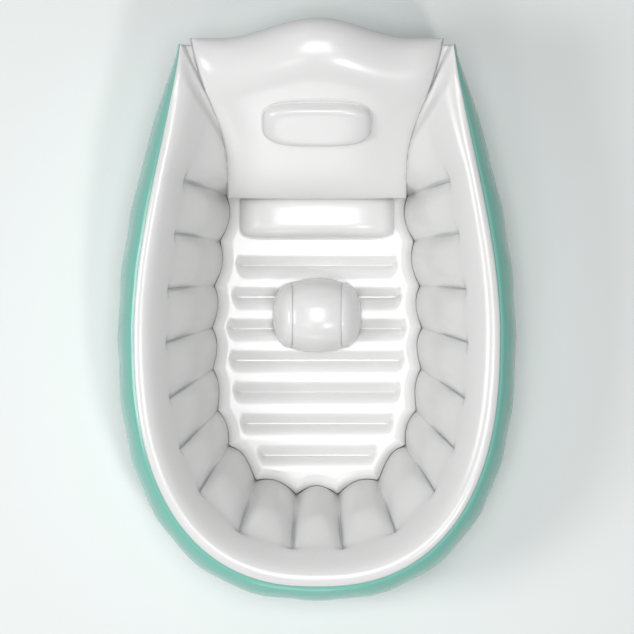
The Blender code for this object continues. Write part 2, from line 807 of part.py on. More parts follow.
def make_floor(carrier, white, clear):
    """The ribbed top sheet of the air floor, and the straps under its grooves."""
    grooves = groove_lines()
    half = GROOVE_WIDTH / 2
    bend = grooves[-1] - half
    pitch = (grooves[0] - grooves[-1]) / (GROOVE_COUNT - 1)
    head_rows = FLOOR_END_ROWS + 1
    y_rows = [bend] * (FLOOR_END_ROWS + 1)
    for line in reversed(grooves):
        y_rows += [line, line + half, line + pitch / 2, line + pitch - half]
    y_rows.pop()
    start = y_rows[-1]
    for i in range(head_rows):
        turn = math.pi / 2 * (i + 1) / head_rows
        y_rows.append(mix(start, FLOOR_HEAD_Y, math.sin(turn)))

    def top_place(column, row):
        across = edge_spaced(column, FLOOR_COLUMNS)
        if row > FLOOR_END_ROWS:
            y = y_rows[row]
            return Vector((across * floor_half_width(y), y))
        x = across * floor_half_width(bend)
        turn = math.pi / 2 * (1 - row / FLOOR_END_ROWS)
        return Vector((x, mix(bend, min(floor_foot_y(x), bend), math.sin(turn))))

    last_row = len(y_rows) - 1

    def floor_place(column, row):
        inner_column = min(max(column - 2, 0), FLOOR_COLUMNS)
        inner_row = min(max(row - 2, 0), last_row)
        place = top_place(inner_column, inner_row)
        ring = min(column, FLOOR_COLUMNS + 4 - column, row, last_row + 4 - row)
        if ring > 1:
            return Vector((place.x, place.y, floor_height(place.x, place.y)))
        if ring == 0:
            middle = Vector((0, min(max(place.y, bend), start)))
            place = place + (middle - place).normalized() * FLANGE
        return Vector((place.x, place.y, BASE_TOP + SHEET))

    bm = surface(FLOOR_COLUMNS + 4, last_row + 4, floor_place)
    thickened(object_from("floor_top_sheet", bm, white, carrier))

    steepness = math.hypot(1, (FLOOR_HEIGHT - GROOVE_FLOOR_HEIGHT) / half)
    for number, line in enumerate(grooves, start=1):
        reach = groove_half_length(line) - GROOVE_FADE
        high = GROOVE_FLOOR_HEIGHT - SHEET * steepness - GAP
        strap = box((-reach, line - SHEET / 2, BASE_TOP), (reach, line + SHEET / 2, high))
        object_from(f"floor_strap_{number}", strap, clear, carrier)


def squared(p, q, fullness):
    """Takes the unit square's points to a rounded outline of the same height and width."""
    if p == 0 and q == 0:
        return 0, 0
    scale = max(abs(p), abs(q)) / (abs(p) ** fullness + abs(q) ** fullness) ** (1 / fullness)
    return p * scale, q * scale


def blown(p, q, fullness):
    """How far a pillow's sheet is blown out, from 0 at its seam to 1 in its middle."""
    return ((1 - abs(p) ** fullness) * (1 - abs(q) ** fullness)) ** 0.5


def edge_spaced(step, steps):
    """From -1 to 1, closer together at the ends."""
    return math.sin(math.pi / 2 * (2 * step / steps - 1))


def make_seat(carrier, white):
    """The seat pillow, a dome welded to the air floor under the backrest's foot."""
    back_y = FLOOR_HEAD_Y - SEAT_BACK_MARGIN
    length = back_y - SEAT_FRONT_Y
    half_width = min(floor_half_width(SEAT_FRONT_Y), floor_half_width(back_y)) - SEAT_SIDE_MARGIN

    def seat_place(column, row):
        p = edge_spaced(column, PILLOW_COLUMNS)
        q = edge_spaced(row, PILLOW_ROWS)
        across, along = squared(p, q, SEAT_FULLNESS)
        x = across * half_width
        y = SEAT_FRONT_Y + length / 2 * (1 + along)
        z = floor_height(x, y) + REST_GAP + SEAT_HEIGHT * blown(p, q, SEAT_FULLNESS)
        return Vector((x, y, z))

    bm = surface(PILLOW_COLUMNS, PILLOW_ROWS, seat_place)
    thickened(object_from("seat_pillow", bm, white, carrier))


def make_backrest(carrier, white):
    """The backrest's front and back sheets, and the flat seam round them where they are welded."""
    for name, side in (("backrest_front_sheet", 1), ("backrest_back_sheet", -1)):

        def sheet_place(column, row, side=side):
            inner_column = min(max(column - 1, 0), BACKREST_COLUMNS)
            inner_row = min(max(row - 1, 0), BACKREST_ROWS)
            p = edge_spaced(inner_column, BACKREST_COLUMNS)
            q = (1 + edge_spaced(inner_row, BACKREST_ROWS)) / 2
            across, up = backrest_outline(p, q)
            across += (column - 1 - inner_column) * FLANGE
            up += (row - 1 - inner_row) * FLANGE
            bulge = front_height(p, q) if side > 0 else back_depth(p, q)
            return backrest_place(across, up, side * (bulge + SHEET + GAP / 2))

        columns = BACKREST_COLUMNS + 2
        bm = surface(columns, BACKREST_ROWS + 2, sheet_place, turned_over=side < 0)
        thickened(object_from(name, bm, white, carrier))


def make_headrest(carrier, white):
    """The headrest pillow, welded to the front of the backrest."""

    def pillow_place(column, row):
        p = edge_spaced(column, PILLOW_COLUMNS)
        q = edge_spaced(row, PILLOW_ROWS)
        across_share, along_share = squared(p, q, HEADREST_FULLNESS)
        across = across_share * HEADREST_HALF_WIDTH
        up = HEADREST_FROM_FOOT + along_share * HEADREST_LENGTH / 2
        out = backrest_front_at(across, up) + REST_GAP
        out += HEADREST_THICKNESS * blown(p, q, HEADREST_FULLNESS)
        return backrest_place(across, up, out)

    bm = surface(PILLOW_COLUMNS, PILLOW_ROWS, pillow_place)
    thickened(object_from("headrest_pillow", bm, white, carrier))


def backrest_front_at(across, up):
    """How far the backrest's front sheet stands out at a place on it."""
    up_share = up / (BACKREST_LENGTH + BACKREST_ARCH)
    for _ in range(SETTLING_STEPS):
        half_width = backrest_half_width(up_share)
        _, reach = backrest_outline(across / half_width, 1)
        up_share = up / reach
    return front_height(across / half_width, up_share) + SHEET + GAP / 2


def horn_arch(turn_share, side_share):
    """The band's profile from the foot side over the top: along the bath, and up.

    The band is crowned, so its profile is longer and higher in its middle than at its sides.
    """
    turn = math.pi * (turn_share - 0.5)
    along = signed_power(math.sin(turn), 2 / HORN_ARCH_FULLNESS)
    up = max(math.cos(turn), 0) ** (2 / HORN_ARCH_FULLNESS)
    half_length = HORN_HALF_LENGTH - HORN_CROWN_LENGTH * side_share**2
    height = HORN_HEIGHT - HORN_CROWN_HEIGHT * side_share**2
    return along * half_length, up * height


def make_horn(carrier, white):
    """The saddle horn: an arched band with a rounded gusset welded to each side."""
    ground = FLOOR_HEIGHT + GAP + SHEET
    outside = HORN_BAND_WIDTH / 2 + GAP + HORN_GUSSET_BULGE

    def half_band(up):
        """The band widens towards its feet."""
        return HORN_BAND_WIDTH / 2 + HORN_BAND_FLARE * (1 - up / HORN_HEIGHT) ** 2

    def band_place(column, row):
        across = 2 * column / HORN_BAND_COLUMNS - 1
        along, up = horn_arch(row / HORN_ARCH_STEPS, across)
        return Vector((across * half_band(up), HORN_Y + along, ground + up))

    band = surface(HORN_BAND_COLUMNS, HORN_ARCH_STEPS, band_place)
    thickened(object_from("horn_band", band, white, carrier))

    for name, side in (("horn_gusset_left", -1), ("horn_gusset_right", 1)):

        def gusset_place(column, row, side=side):
            turn = math.pi / 2 * column / HORN_GUSSET_STEPS
            along, up = horn_arch(row / HORN_ARCH_STEPS, 1)
            keep = math.cos(turn)
            x = mix(half_band(up) + GAP, outside, math.sin(turn))
            return Vector((side * x, HORN_Y + along * keep, ground + up * keep))

        gusset = surface(HORN_GUSSET_STEPS, HORN_ARCH_STEPS, gusset_place, turned_over=side < 0)
        thickened(object_from(name, gusset, white, carrier))


def make_valve(name, carrier, moulded):
    """An air valve: a cup welded into the sheet, a stem that pushes in, a flap and a cap."""
    wall = VALVE_WALL
    bore = STEM_RADIUS + STEM_CLEARANCE
    cup = turned(
        [
            (VALVE_FLANGE_RADIUS, -GAP),
            (VALVE_CUP_RADIUS, -GAP),
            (VALVE_CUP_RADIUS, -VALVE_CUP_DEPTH),
            (bore, -VALVE_CUP_DEPTH),
            (bore, -VALVE_CUP_DEPTH - wall),
            (VALVE_CUP_RADIUS + wall, -VALVE_CUP_DEPTH - wall),
            (VALVE_CUP_RADIUS + wall, -GAP - wall),
            (VALVE_FLANGE_RADIUS, -GAP - wall),
        ]
    )
    object_from(f"{name}_cup", cup, moulded, carrier)

    rim_low = -VALVE_CUP_DEPTH + GAP
    rim_top = rim_low + STEM_RIM_THICKNESS
    stem_end = -VALVE_CUP_DEPTH - STEM_LENGTH
    stem = turned(
        [
            (STEM_BORE_RADIUS, rim_top),
            (STEM_BORE_RADIUS, stem_end),
            (STEM_RADIUS, stem_end),
            (STEM_RADIUS, rim_low),
            (STEM_RIM_RADIUS, rim_low),
            (STEM_RIM_RADIUS, rim_top),
        ]
    )
    stem_object = object_from(f"{name}_stem", stem, moulded, carrier)

    cap_low = rim_top + GAP
    cap_top = cap_low + CAP_THICKNESS
    hinge = Vector((-CAP_HINGE_RADIUS, 0, cap_low + CAP_THICKNESS / 2))
    cap = turned(
        disc_profile(
            (NIB_TIP_RADIUS, cap_low - NIB_LENGTH),
            (NIB_TOP_RADIUS, cap_low),
            (CAP_RADIUS, cap_low),
            (CAP_RADIUS, cap_top),
        )
    )
    cap_object = object_from(f"{name}_cap", cap, moulded, stem_object, hinge)
    strap = hinge_strap(CAP_HINGE_RADIUS, CAP_RADIUS, CAP_STRAP_WIDTH, CAP_STRAP_THICKNESS)
    joined(cap_object, f"{name}_cap_strap", strap, stem_object)

    flap_top = stem_end - GAP
    flap_pivot = Vector((-FLAP_HINGE_RADIUS, 0, flap_top - FLAP_THICKNESS / 2))
    flap = turned(
        disc_profile((FLAP_RADIUS, flap_top - FLAP_THICKNESS), (FLAP_RADIUS, flap_top))
    )
    flap_object = object_from(f"{name}_flap", flap, moulded, stem_object, flap_pivot)
    tab = hinge_strap(FLAP_HINGE_RADIUS, FLAP_RADIUS, CAP_STRAP_WIDTH, FLAP_TAB_THICKNESS)
    joined(flap_object, f"{name}_flap_tab", tab, stem_object)
    return cutter_rod(f"{name}_hole", VALVE_CUP_RADIUS, VALVE_FLANGE_RADIUS, 0, carrier)


def empty(name, carrier, matrix):
    thing = bpy.data.objects.new(name, None)
    bpy.context.collection.objects.link(thing)
    thing.parent = carrier
    thing.matrix_local = matrix
    return thing


def axes(x, y, z, place):
    """A matrix whose own axes point along three directions, at a place."""
    matrix = Matrix((x, y, z)).transposed().to_4x4()
    matrix.translation = place
    return matrix


def drain_mouth_y():
    """How far back the drain's mouth stands, clear of the wall at the plug's hinge."""
    return outer_at_height(BACK_MIDDLE, DRAIN_HEIGHT + DRAIN_HINGE_RADIUS).y + DRAIN_REACH_OUT


def make_drain(carrier, moulded):
    """The drain: a sleeve through the head end's wall, and the plug on its strap."""
    length = drain_mouth_y() - BASIN.back(1).y + DRAIN_REACH_IN
    near = -length + DRAIN_FLANGE_SETBACK
    far = -DRAIN_FLANGE_SETBACK - DRAIN_REACH_OUT
    thick = DRAIN_FLANGE_THICKNESS
    sleeve = turned(
        [
            (DRAIN_BORE_RADIUS, 0),
            (DRAIN_BORE_RADIUS, -length),
            (DRAIN_OUTER_RADIUS, -length),
            (DRAIN_OUTER_RADIUS, near - thick),
            (DRAIN_FLANGE_RADIUS, near - thick),
            (DRAIN_FLANGE_RADIUS, near),
            (DRAIN_OUTER_RADIUS, near),
            (DRAIN_OUTER_RADIUS, far - thick),
            (DRAIN_FLANGE_RADIUS, far - thick),
            (DRAIN_FLANGE_RADIUS, far),
            (DRAIN_OUTER_RADIUS, far),
            (DRAIN_OUTER_RADIUS, 0),
        ]
    )
    sleeve_object = object_from("drain_sleeve", sleeve, moulded, carrier)
    lug = box(
        (-DRAIN_HINGE_RADIUS - DRAIN_WALL, -DRAIN_LUG_WIDTH / 2, -DRAIN_LUG_THICKNESS),
        (-DRAIN_BORE_RADIUS - DRAIN_WALL / 2, DRAIN_LUG_WIDTH / 2, 0),
    )
    joined(sleeve_object, "drain_lug", lug, carrier)

    hinge = Vector((-DRAIN_HINGE_RADIUS, 0, GAP + PLUG_THICKNESS / 2))
    plug = turned(
        disc_profile(
            (PLUG_NIB_TIP_RADIUS, GAP - PLUG_NIB_LENGTH),
            (PLUG_NIB_TOP_RADIUS, GAP),
            (PLUG_RADIUS, GAP),
            (PLUG_RADIUS, GAP + PLUG_THICKNESS),
        )
    )
    plug_object = object_from("drain_plug", plug, moulded, carrier, hinge)
    strap = hinge_strap(DRAIN_HINGE_RADIUS, PLUG_RADIUS, PLUG_STRAP_WIDTH, PLUG_STRAP_THICKNESS)
    joined(plug_object, "drain_plug_strap", strap, carrier)
    return cutter_rod("drain_hole", DRAIN_OUTER_RADIUS + GAP, 2 * length, -length, carrier)


def build():
    scene_cleared()
    white = vinyl("white_vinyl", WHITE_VINYL, 0.35)
    mint = vinyl("mint_vinyl", MINT_VINYL, 0.35)
    clear = vinyl("clear_vinyl", CLEAR_VINYL, 0.3)
    moulded = vinyl("moulded_vinyl", MOULDED_VINYL, 0.4)

    head_reach = backrest_place(0, backrest_reach(0) + FLANGE, SHEET + GAP / 2).y
    foot_reach = -outer_point(FOOT_MIDDLE, 0.5).y - GAP - SHEET
    carrier = empty("bath_origin", None, Matrix.Translation((0, (foot_reach - head_reach) / 2, 0)))

    inner_sheet, outer_sheet = make_wall(carrier, white, mint, clear)
    base = make_base(carrier, mint)
    make_floor(carrier, white, clear)
    make_seat(carrier, white)
    make_backrest(carrier, white)
    make_headrest(carrier, white)
    make_horn(carrier, white)

    up = Vector((0, 0, 1))
    right = Vector((1, 0, 0))
    head = Vector((0, 1, 0))
    wall_share = 1 - WALL_VALVE_X / RIM.corner.x
    wall_y = outer_point(HEAD_CORNER + wall_share, 0.5).y - 2 * SHEET - GAP - WALL_VALVE_SINK
    wall_place = Vector((WALL_VALVE_X, wall_y, WALL_VALVE_HEIGHT))
    wall_valve = empty("wall_valve_place", carrier, axes(-up, -right, head, wall_place))
    pierced(outer_sheet, make_valve("wall_valve", wall_valve, moulded))

    lines = groove_lines()
    floor_place = Vector((FLOOR_VALVE_X, (lines[-1] + lines[-2]) / 2, SHEET))
    floor_valve = empty("floor_valve_place", carrier, axes(right, -head, -up, floor_place))
    pierced(base, make_valve("floor_valve", floor_valve, moulded))

    drain_place = Vector((0, drain_mouth_y(), DRAIN_HEIGHT))
    drain = empty("drain_place", carrier, axes(-up, -right, head, drain_place))
    hole = make_drain(drain, moulded)
    pierced(inner_sheet, hole)
    pierced(outer_sheet, hole)


build()
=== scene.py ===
"""The looks of an inflatable baby bath, welded from white and mint vinyl sheet.

Metres, +Z up, the foot end towards -Y. Shapes are worked out from the line across the basin at its
widest, and each piece's mesh is then moved to where the bath stands.
"""

import math

import bmesh
import bpy
import numpy as np
from mathutils import Matrix, Vector


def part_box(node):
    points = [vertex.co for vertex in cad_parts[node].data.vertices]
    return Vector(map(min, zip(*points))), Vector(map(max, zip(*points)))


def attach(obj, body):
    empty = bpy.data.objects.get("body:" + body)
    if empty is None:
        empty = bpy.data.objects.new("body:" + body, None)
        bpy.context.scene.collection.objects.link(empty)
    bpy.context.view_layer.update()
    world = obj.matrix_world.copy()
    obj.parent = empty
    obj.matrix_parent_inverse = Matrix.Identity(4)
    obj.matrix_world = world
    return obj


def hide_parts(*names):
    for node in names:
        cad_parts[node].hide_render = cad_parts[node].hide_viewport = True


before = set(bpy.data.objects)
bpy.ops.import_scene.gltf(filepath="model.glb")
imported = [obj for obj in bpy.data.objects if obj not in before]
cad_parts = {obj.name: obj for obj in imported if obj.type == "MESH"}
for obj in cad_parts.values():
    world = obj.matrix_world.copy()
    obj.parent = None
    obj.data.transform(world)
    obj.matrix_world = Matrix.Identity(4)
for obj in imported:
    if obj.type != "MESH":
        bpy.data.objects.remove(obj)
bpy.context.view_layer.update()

# Where the bath stands
# A plain pale floor in a pale room. One softbox hangs over the bath, another stands to its left,
# and smaller ones round it give the gloss its highlights. The camera looks straight down.
HORN_Y = 0.023
horn_low, horn_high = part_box("horn_band")
BATH_Y = (horn_low.y + horn_high.y) / 2 - HORN_Y

CAMERA_HEIGHT = 3.0
CAMERA_Y = 0.020
CAMERA_LENS = 97.04
SENSOR_WIDTH = 36
camera = bpy.data.objects.new("camera", bpy.data.cameras.new("camera"))
bpy.context.scene.collection.objects.link(camera)
camera.data.lens = CAMERA_LENS
camera.data.sensor_width = SENSOR_WIDTH
camera.location = (0, BATH_Y + CAMERA_Y, CAMERA_HEIGHT)
bpy.context.scene.camera = camera
bpy.context.scene.view_settings.view_transform = "Standard"


def softbox(name, place, aim, size, watts, colour=(1, 1, 1)):
    """A square lamp at a place, turned to shine at another."""
    light = bpy.data.lights.new(name, "AREA")
    light.shape = "SQUARE"
    light.size = size
    light.energy = watts
    light.color = colour
    lamp = bpy.data.objects.new(name, light)
    bpy.context.scene.collection.objects.link(lamp)
    lamp.location = place
    lamp.rotation_mode = "QUATERNION"
    lamp.rotation_quaternion = (Vector(aim) - Vector(place)).to_track_quat("-Z", "Y")
    return lamp


BASIN_HEART = (0, 0, 0.1)
SKY_COLOUR = (0.94, 0.98, 0.97, 1)
SKY_STRENGTH = 0.02
PALE_ROOM = (0.82, 0.85, 0.845, 1)
softbox("overhead_softbox", (0, 0.1, 3.7), BASIN_HEART, 1.3, 60)
softbox("left_softbox", (-2.4, -0.3, 2.6), BASIN_HEART, 1.0, 39)
softbox("high_softbox_left", (-0.8, -1.2, 3.1), BASIN_HEART, 0.4, 5)
softbox("high_softbox_right", (0.9, -1.25, 3.1), BASIN_HEART, 0.36, 21)
softbox("foot_softbox", (-0.3, -3.4, 1.1), BASIN_HEART, 1.2, 18)
softbox("head_softbox_left", (-0.9, 1.7, 3.2), BASIN_HEART, 1.2, 7)
softbox("head_softbox_right", (0.9, 1.7, 3.2), BASIN_HEART, 1.2, 4)
world = bpy.data.worlds.new("pale_room")
world.use_nodes = True
sky = world.node_tree.nodes["Background"]
sky.inputs["Color"].default_value = SKY_COLOUR
sky.inputs["Strength"].default_value = SKY_STRENGTH
seen = world.node_tree.nodes.new("ShaderNodeBackground")
seen.inputs["Color"].default_value = PALE_ROOM
rays = world.node_tree.nodes.new("ShaderNodeLightPath")
room = world.node_tree.nodes.new("ShaderNodeMixShader")
world_links = world.node_tree.links
world_links.new(rays.outputs["Is Camera Ray"], room.inputs["Fac"])
world_links.new(sky.outputs["Background"], room.inputs[1])
world_links.new(seen.outputs["Background"], room.inputs[2])
world_output = world.node_tree.nodes["World Output"]
world_links.new(room.outputs["Shader"], world_output.inputs["Surface"])
bpy.context.scene.world = world

FLOOR_SIDE = 7
FLOOR_DROP = 0.0004
FLOOR_COLOUR = (0.86, 0.885, 0.88, 1)
FAR_FLOOR_START = 0.75
FAR_FLOOR_END = 2.6
ground = bmesh.new()
bmesh.ops.create_grid(ground, x_segments=1, y_segments=1, size=FLOOR_SIDE / 2)
bmesh.ops.translate(ground, vec=(0, 0, -FLOOR_DROP), verts=ground.verts)
ground_mesh = bpy.data.meshes.new("ground")
ground.to_mesh(ground_mesh)
ground.free()
ground_floor = bpy.data.objects.new("ground", ground_mesh)
bpy.context.scene.collection.objects.link(ground_floor)
ground_paint = bpy.data.materials.new("pale_floor")
ground_paint.use_nodes = True
paint = ground_paint.node_tree.nodes["Principled BSDF"]
paint.inputs["Base Color"].default_value = FLOOR_COLOUR
paint.inputs["Roughness"].default_value = 0.8
paint.inputs["Specular IOR Level"].default_value = 0.2
# Far from the bath the floor is seen as the pale room
paint_nodes = ground_paint.node_tree.nodes
paint_links = ground_paint.node_tree.links
floor_place = paint_nodes.new("ShaderNodeTexCoord")
reach = paint_nodes.new("ShaderNodeVectorMath")
reach.operation = "LENGTH"
far_share = paint_nodes.new("ShaderNodeMapRange")
far_share.interpolation_type = "SMOOTHSTEP"
far_share.inputs["From Min"].default_value = FAR_FLOOR_START
far_share.inputs["From Max"].default_value = FAR_FLOOR_END
floor_rays = paint_nodes.new("ShaderNodeLightPath")
seen_share = paint_nodes.new("ShaderNodeMath")
seen_share.operation = "MULTIPLY"
far_paint = paint_nodes.new("ShaderNodeEmission")
far_paint.inputs["Color"].default_value = PALE_ROOM
floor_finish = paint_nodes.new("ShaderNodeMixShader")
paint_links.new(floor_place.outputs["Object"], reach.inputs[0])
paint_links.new(reach.outputs["Value"], far_share.inputs["Value"])
paint_links.new(far_share.outputs["Result"], seen_share.inputs[0])
paint_links.new(floor_rays.outputs["Is Camera Ray"], seen_share.inputs[1])
paint_links.new(seen_share.outputs["Value"], floor_finish.inputs["Fac"])
paint_links.new(paint.outputs["BSDF"], floor_finish.inputs[1])
paint_links.new(far_paint.outputs["Emission"], floor_finish.inputs[2])
paint_output = paint_nodes["Material Output"]
paint_links.new(floor_finish.outputs["Shader"], paint_output.inputs["Surface"])
ground_mesh.materials.append(ground_paint)


# Vinyl
# Calendered PVC sheet 0.4 mm thick, satin, with the faint grain of the rollers. Along a weld a
# heated bar presses the sheets together, which leaves a flat line, slightly greyer and glossier.
SHEET = 0.0004
GAP = 0.0003
CLOUD_SCALE = 7
HANDLING_SCALE = 22
GRAIN_SCALE = 900
PATCH_ROUGHNESS = 0.05
WELD_GLOSS = 0.03
SLACK_HEIGHT = 0.0001
VINYL_IOR = 1.5
FOLD_ANGLE = math.radians(50)
MERGE_DISTANCE = 0.00003


def skin_group():
    """The surface of the sheet: its colour, gloss and relief, from grain, clouding and welds."""
    group = bpy.data.node_groups.new("vinyl_skin", "ShaderNodeTree")
    face = group.interface
    sockets = (
        ("Colour", "NodeSocketColor", (0.8, 0.8, 0.8, 1)),
        ("Weld Colour", "NodeSocketColor", (0.7, 0.7, 0.7, 1)),
        ("Gloss Roughness", "NodeSocketFloat", 0.24),
        ("Grain Height", "NodeSocketFloat", 0.000006),
        ("Clouding", "NodeSocketFloat", 0.03),
    )
    for name, kind, value in sockets:
        face.new_socket(name=name, in_out="INPUT", socket_type=kind).default_value = value
    for name, kind in (
        ("Base Color", "NodeSocketColor"),
        ("Roughness", "NodeSocketFloat"),
        ("Normal", "NodeSocketVector"),
    ):
        face.new_socket(name=name, in_out="OUTPUT", socket_type=kind)
    nodes = group.nodes
    links = group.links
    given = nodes.new("NodeGroupInput")
    out = nodes.new("NodeGroupOutput")
    where = nodes.new("ShaderNodeTexCoord").outputs["Object"]

    def noise(scale, detail):
        node = nodes.new("ShaderNodeTexNoise")
        node.inputs["Scale"].default_value = scale
        node.inputs["Detail"].default_value = detail
        links.new(where, node.inputs["Vector"])
        return node.outputs["Fac"]

    def maths(operation, a, b):
        node = nodes.new("ShaderNodeMath")
        node.operation = operation
        for socket, value in zip(node.inputs, (a, b)):
            if isinstance(value, (int, float)):
                socket.default_value = value
            else:
                links.new(value, socket)
        return node.outputs["Value"]

    cloud = noise(CLOUD_SCALE, 3)
    handling = noise(HANDLING_SCALE, 1)
    grain = noise(GRAIN_SCALE, 1)
    weld = nodes.new("ShaderNodeAttribute")
    weld.attribute_name = "weld"
    weld_share = weld.outputs["Fac"]

    shade = maths("MULTIPLY", maths("SUBTRACT", cloud, 0.5), given.outputs["Clouding"])
    bright = nodes.new("ShaderNodeHueSaturation")
    links.new(maths("ADD", 1, shade), bright.inputs["Value"])
    links.new(given.outputs["Colour"], bright.inputs["Color"])
    colour = nodes.new("ShaderNodeMix")
    colour.data_type = "RGBA"
    links.new(weld_share, colour.inputs["Factor"])
    links.new(bright.outputs["Color"], colour.inputs[6])
    links.new(given.outputs["Weld Colour"], colour.inputs[7])
    links.new(colour.outputs[2], out.inputs["Base Color"])

    patches = maths("MULTIPLY", maths("SUBTRACT", handling, 0.5), PATCH_ROUGHNESS)
    duller = maths("ADD", given.outputs["Gloss Roughness"], patches)
    glossier = maths("MULTIPLY", weld_share, WELD_GLOSS)
    links.new(maths("SUBTRACT", duller, glossier), out.inputs["Roughness"])

    height = maths("MULTIPLY", grain, given.outputs["Grain Height"])
    slack = maths("MULTIPLY", handling, SLACK_HEIGHT)
    bump = nodes.new("ShaderNodeBump")
    bump.inputs["Strength"].default_value = 1
    bump.inputs["Distance"].default_value = 1
    links.new(maths("ADD", height, slack), bump.inputs["Height"])
    links.new(bump.outputs["Normal"], out.inputs["Normal"])
    return group


VINYL_SKIN = skin_group()


def vinyl(name, colour, weld_colour, roughness=0.24):
    """A sheet's material, with the skin's values for it."""
    material = bpy.data.materials.new(name)
    material.use_nodes = True
    nodes = material.node_tree.nodes
    links = material.node_tree.links
    shader = nodes["Principled BSDF"]
    shader.inputs["IOR"].default_value = VINYL_IOR
    skin = nodes.new("ShaderNodeGroup")
    skin.node_tree = VINYL_SKIN
    skin.inputs["Colour"].default_value = (*colour, 1)
    skin.inputs["Weld Colour"].default_value = (*weld_colour, 1)
    skin.inputs["Gloss Roughness"].default_value = roughness
    for socket in ("Base Color", "Roughness", "Normal"):
        links.new(skin.outputs[socket], shader.inputs[socket])
    return material


WHITE_VINYL = vinyl("white_vinyl", (0.75, 0.75, 0.747), (0.72, 0.722, 0.72))
MINT_VINYL = vinyl("mint_vinyl", (0.212, 0.54, 0.457), (0.18, 0.46, 0.39))


def sheet_object(name, bm, material, body="root"):
    """A piece from its finished mesh: put where the bath stands, finished, and fixed to a body."""
    bmesh.ops.translate(bm, vec=(0, BATH_Y, 0), verts=bm.verts)
    mesh = bpy.data.meshes.new(name)
    bm.to_mesh(mesh)
    bm.free()
    mesh.shade_smooth()
    mesh.set_sharp_from_angle(angle=FOLD_ANGLE)
    mesh.materials.append(material)
    piece = bpy.data.objects.new(name, mesh)
    bpy.context.scene.collection.objects.link(piece)
    solid = piece.modifiers.new("sheet", "SOLIDIFY")
    solid.thickness = SHEET
    solid.offset = -1
    solid.use_even_offset = True
    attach(piece, body)
    return piece


def grid_of(places, welds=None, closed=False, turned_over=False):
    """A grid of faces laid through rows and columns of places, with how welded each one is."""
    rows, columns = places.shape[:2]
    bm = bmesh.new()
    weld = bm.verts.layers.float.new("weld")
    bmesh.ops.create_grid(bm, x_segments=columns - 1, y_segments=rows - 1, size=1)
    for vert in bm.verts:
        column = round((vert.co.x + 1) / 2 * (columns - 1))
        row = round((vert.co.y + 1) / 2 * (rows - 1))
        vert.co = places[row, column]
        vert[weld] = 0 if welds is None else welds[row, column]
    if closed:
        bmesh.ops.remove_doubles(bm, verts=bm.verts, dist=MERGE_DISTANCE)
    if turned_over:
        bmesh.ops.reverse_faces(bm, faces=bm.faces)
    bm.normal_update()
    return bm


# Inner wall
# The white sheet inside the ring chamber. Nine creases down each side are welded to straps that
# hold it in, so that lobes stand out between them, and each weld ends in a short cross bar. The
# backrest's edges press it near the head, where the drain goes through it.
BASE_TOP = SHEET + GAP
BASIN_HALF_WIDTH = 0.182
BASIN_FOOT_REACH = 0.2895
BASIN_CORNER = (0.150, 0.290)
WALL_SIDE = 0.1135
WALL_FOOT = 0.1267
RIM_CORNER = (BASIN_CORNER[0] + 0.068, BASIN_CORNER[1] + 0.1665)
RIM_SETBACK = 0.015
RIM_FOOT_HEIGHT = 0.235
RIM_SIDE_HEIGHT = 0.245
RIM_TIP_HEIGHT = 0.272
CREASES = 9
HEAD_CORNER = CREASES + 0.5
BASIN_CREASE_SHARES = (0.052, 0.162, 0.274, 0.367, 0.473, 0.577, 0.683, 0.797, 0.913)
RIM_CREASE_SHARES = (0.043, 0.141, 0.243, 0.328, 0.417, 0.519, 0.613, 0.710, 0.798)


def smooth(x):
    """0 up to 1 with level ends."""
    x = np.clip(x, 0, 1)
    return x * x * (3 - 2 * x)


def mix(a, b, share):
    return a + (b - a) * share


class WallLine:
    """A line round the wall seen from above: round at the foot and cornered at the head."""

    STEPS = 160

    def __init__(self, half_width, widest_y, foot_reach, corner, back_bow, fullness, pull, shares):
        turn = np.linspace(0, math.pi / 2, self.STEPS, endpoint=False)
        x = half_width * np.sin(turn) ** (2 / fullness)
        y = widest_y - foot_reach * np.cos(turn) ** (2 / fullness)
        reach = (corner[1] - widest_y) / 3
        t = np.linspace(0, 1, self.STEPS + 1)
        hold = np.array(
            [
                (half_width, widest_y),
                (half_width, widest_y + reach),
                (corner[0] + pull * (half_width - corner[0]), corner[1] - reach),
                corner,
            ]
        )
        weights = np.array([(1 - t) ** 3, 3 * t * (1 - t) ** 2, 3 * t * t * (1 - t), t**3])
        self.x, self.y = np.concatenate([np.stack([x, y], 1), weights.T @ hold]).T
        steps = np.hypot(np.diff(self.x), np.diff(self.y))
        self.length = np.concatenate([[0], np.cumsum(steps)])
        self.corner = corner
        self.back_bow = back_bow
        self.shares = (0, *shares, 1)

    def at(self, station):
        """Where a station is. Creases are at 0.5, 1.5 and so on, to the head corner and beyond."""
        far = np.abs(station)
        places = (0, *(i + 0.5 for i in range(CREASES)), HEAD_CORNER)
        along = np.interp(far, places, self.shares) * self.length[-1]
        past = np.clip(far - HEAD_CORNER, 0, 1)
        behind = far > HEAD_CORNER
        x = np.where(behind, self.corner[0] * (1 - past), np.interp(along, self.length, self.x))
        bow = self.corner[1] + self.back_bow * (1 - (1 - past) ** 2)
        y = np.where(behind, bow, np.interp(along, self.length, self.y))
        return np.stack([np.sign(station) * x, y], -1)


BASIN = WallLine(
    BASIN_HALF_WIDTH, 0, BASIN_FOOT_REACH, BASIN_CORNER, 0.015, 2.75, 0.3, BASIN_CREASE_SHARES
)
RIM = WallLine(
    BASIN_HALF_WIDTH + WALL_SIDE,
    -RIM_SETBACK,
    BASIN_FOOT_REACH + WALL_FOOT - RIM_SETBACK,
    RIM_CORNER,
    0.008,
    2.4,
    0.3,
    RIM_CREASE_SHARES,
)
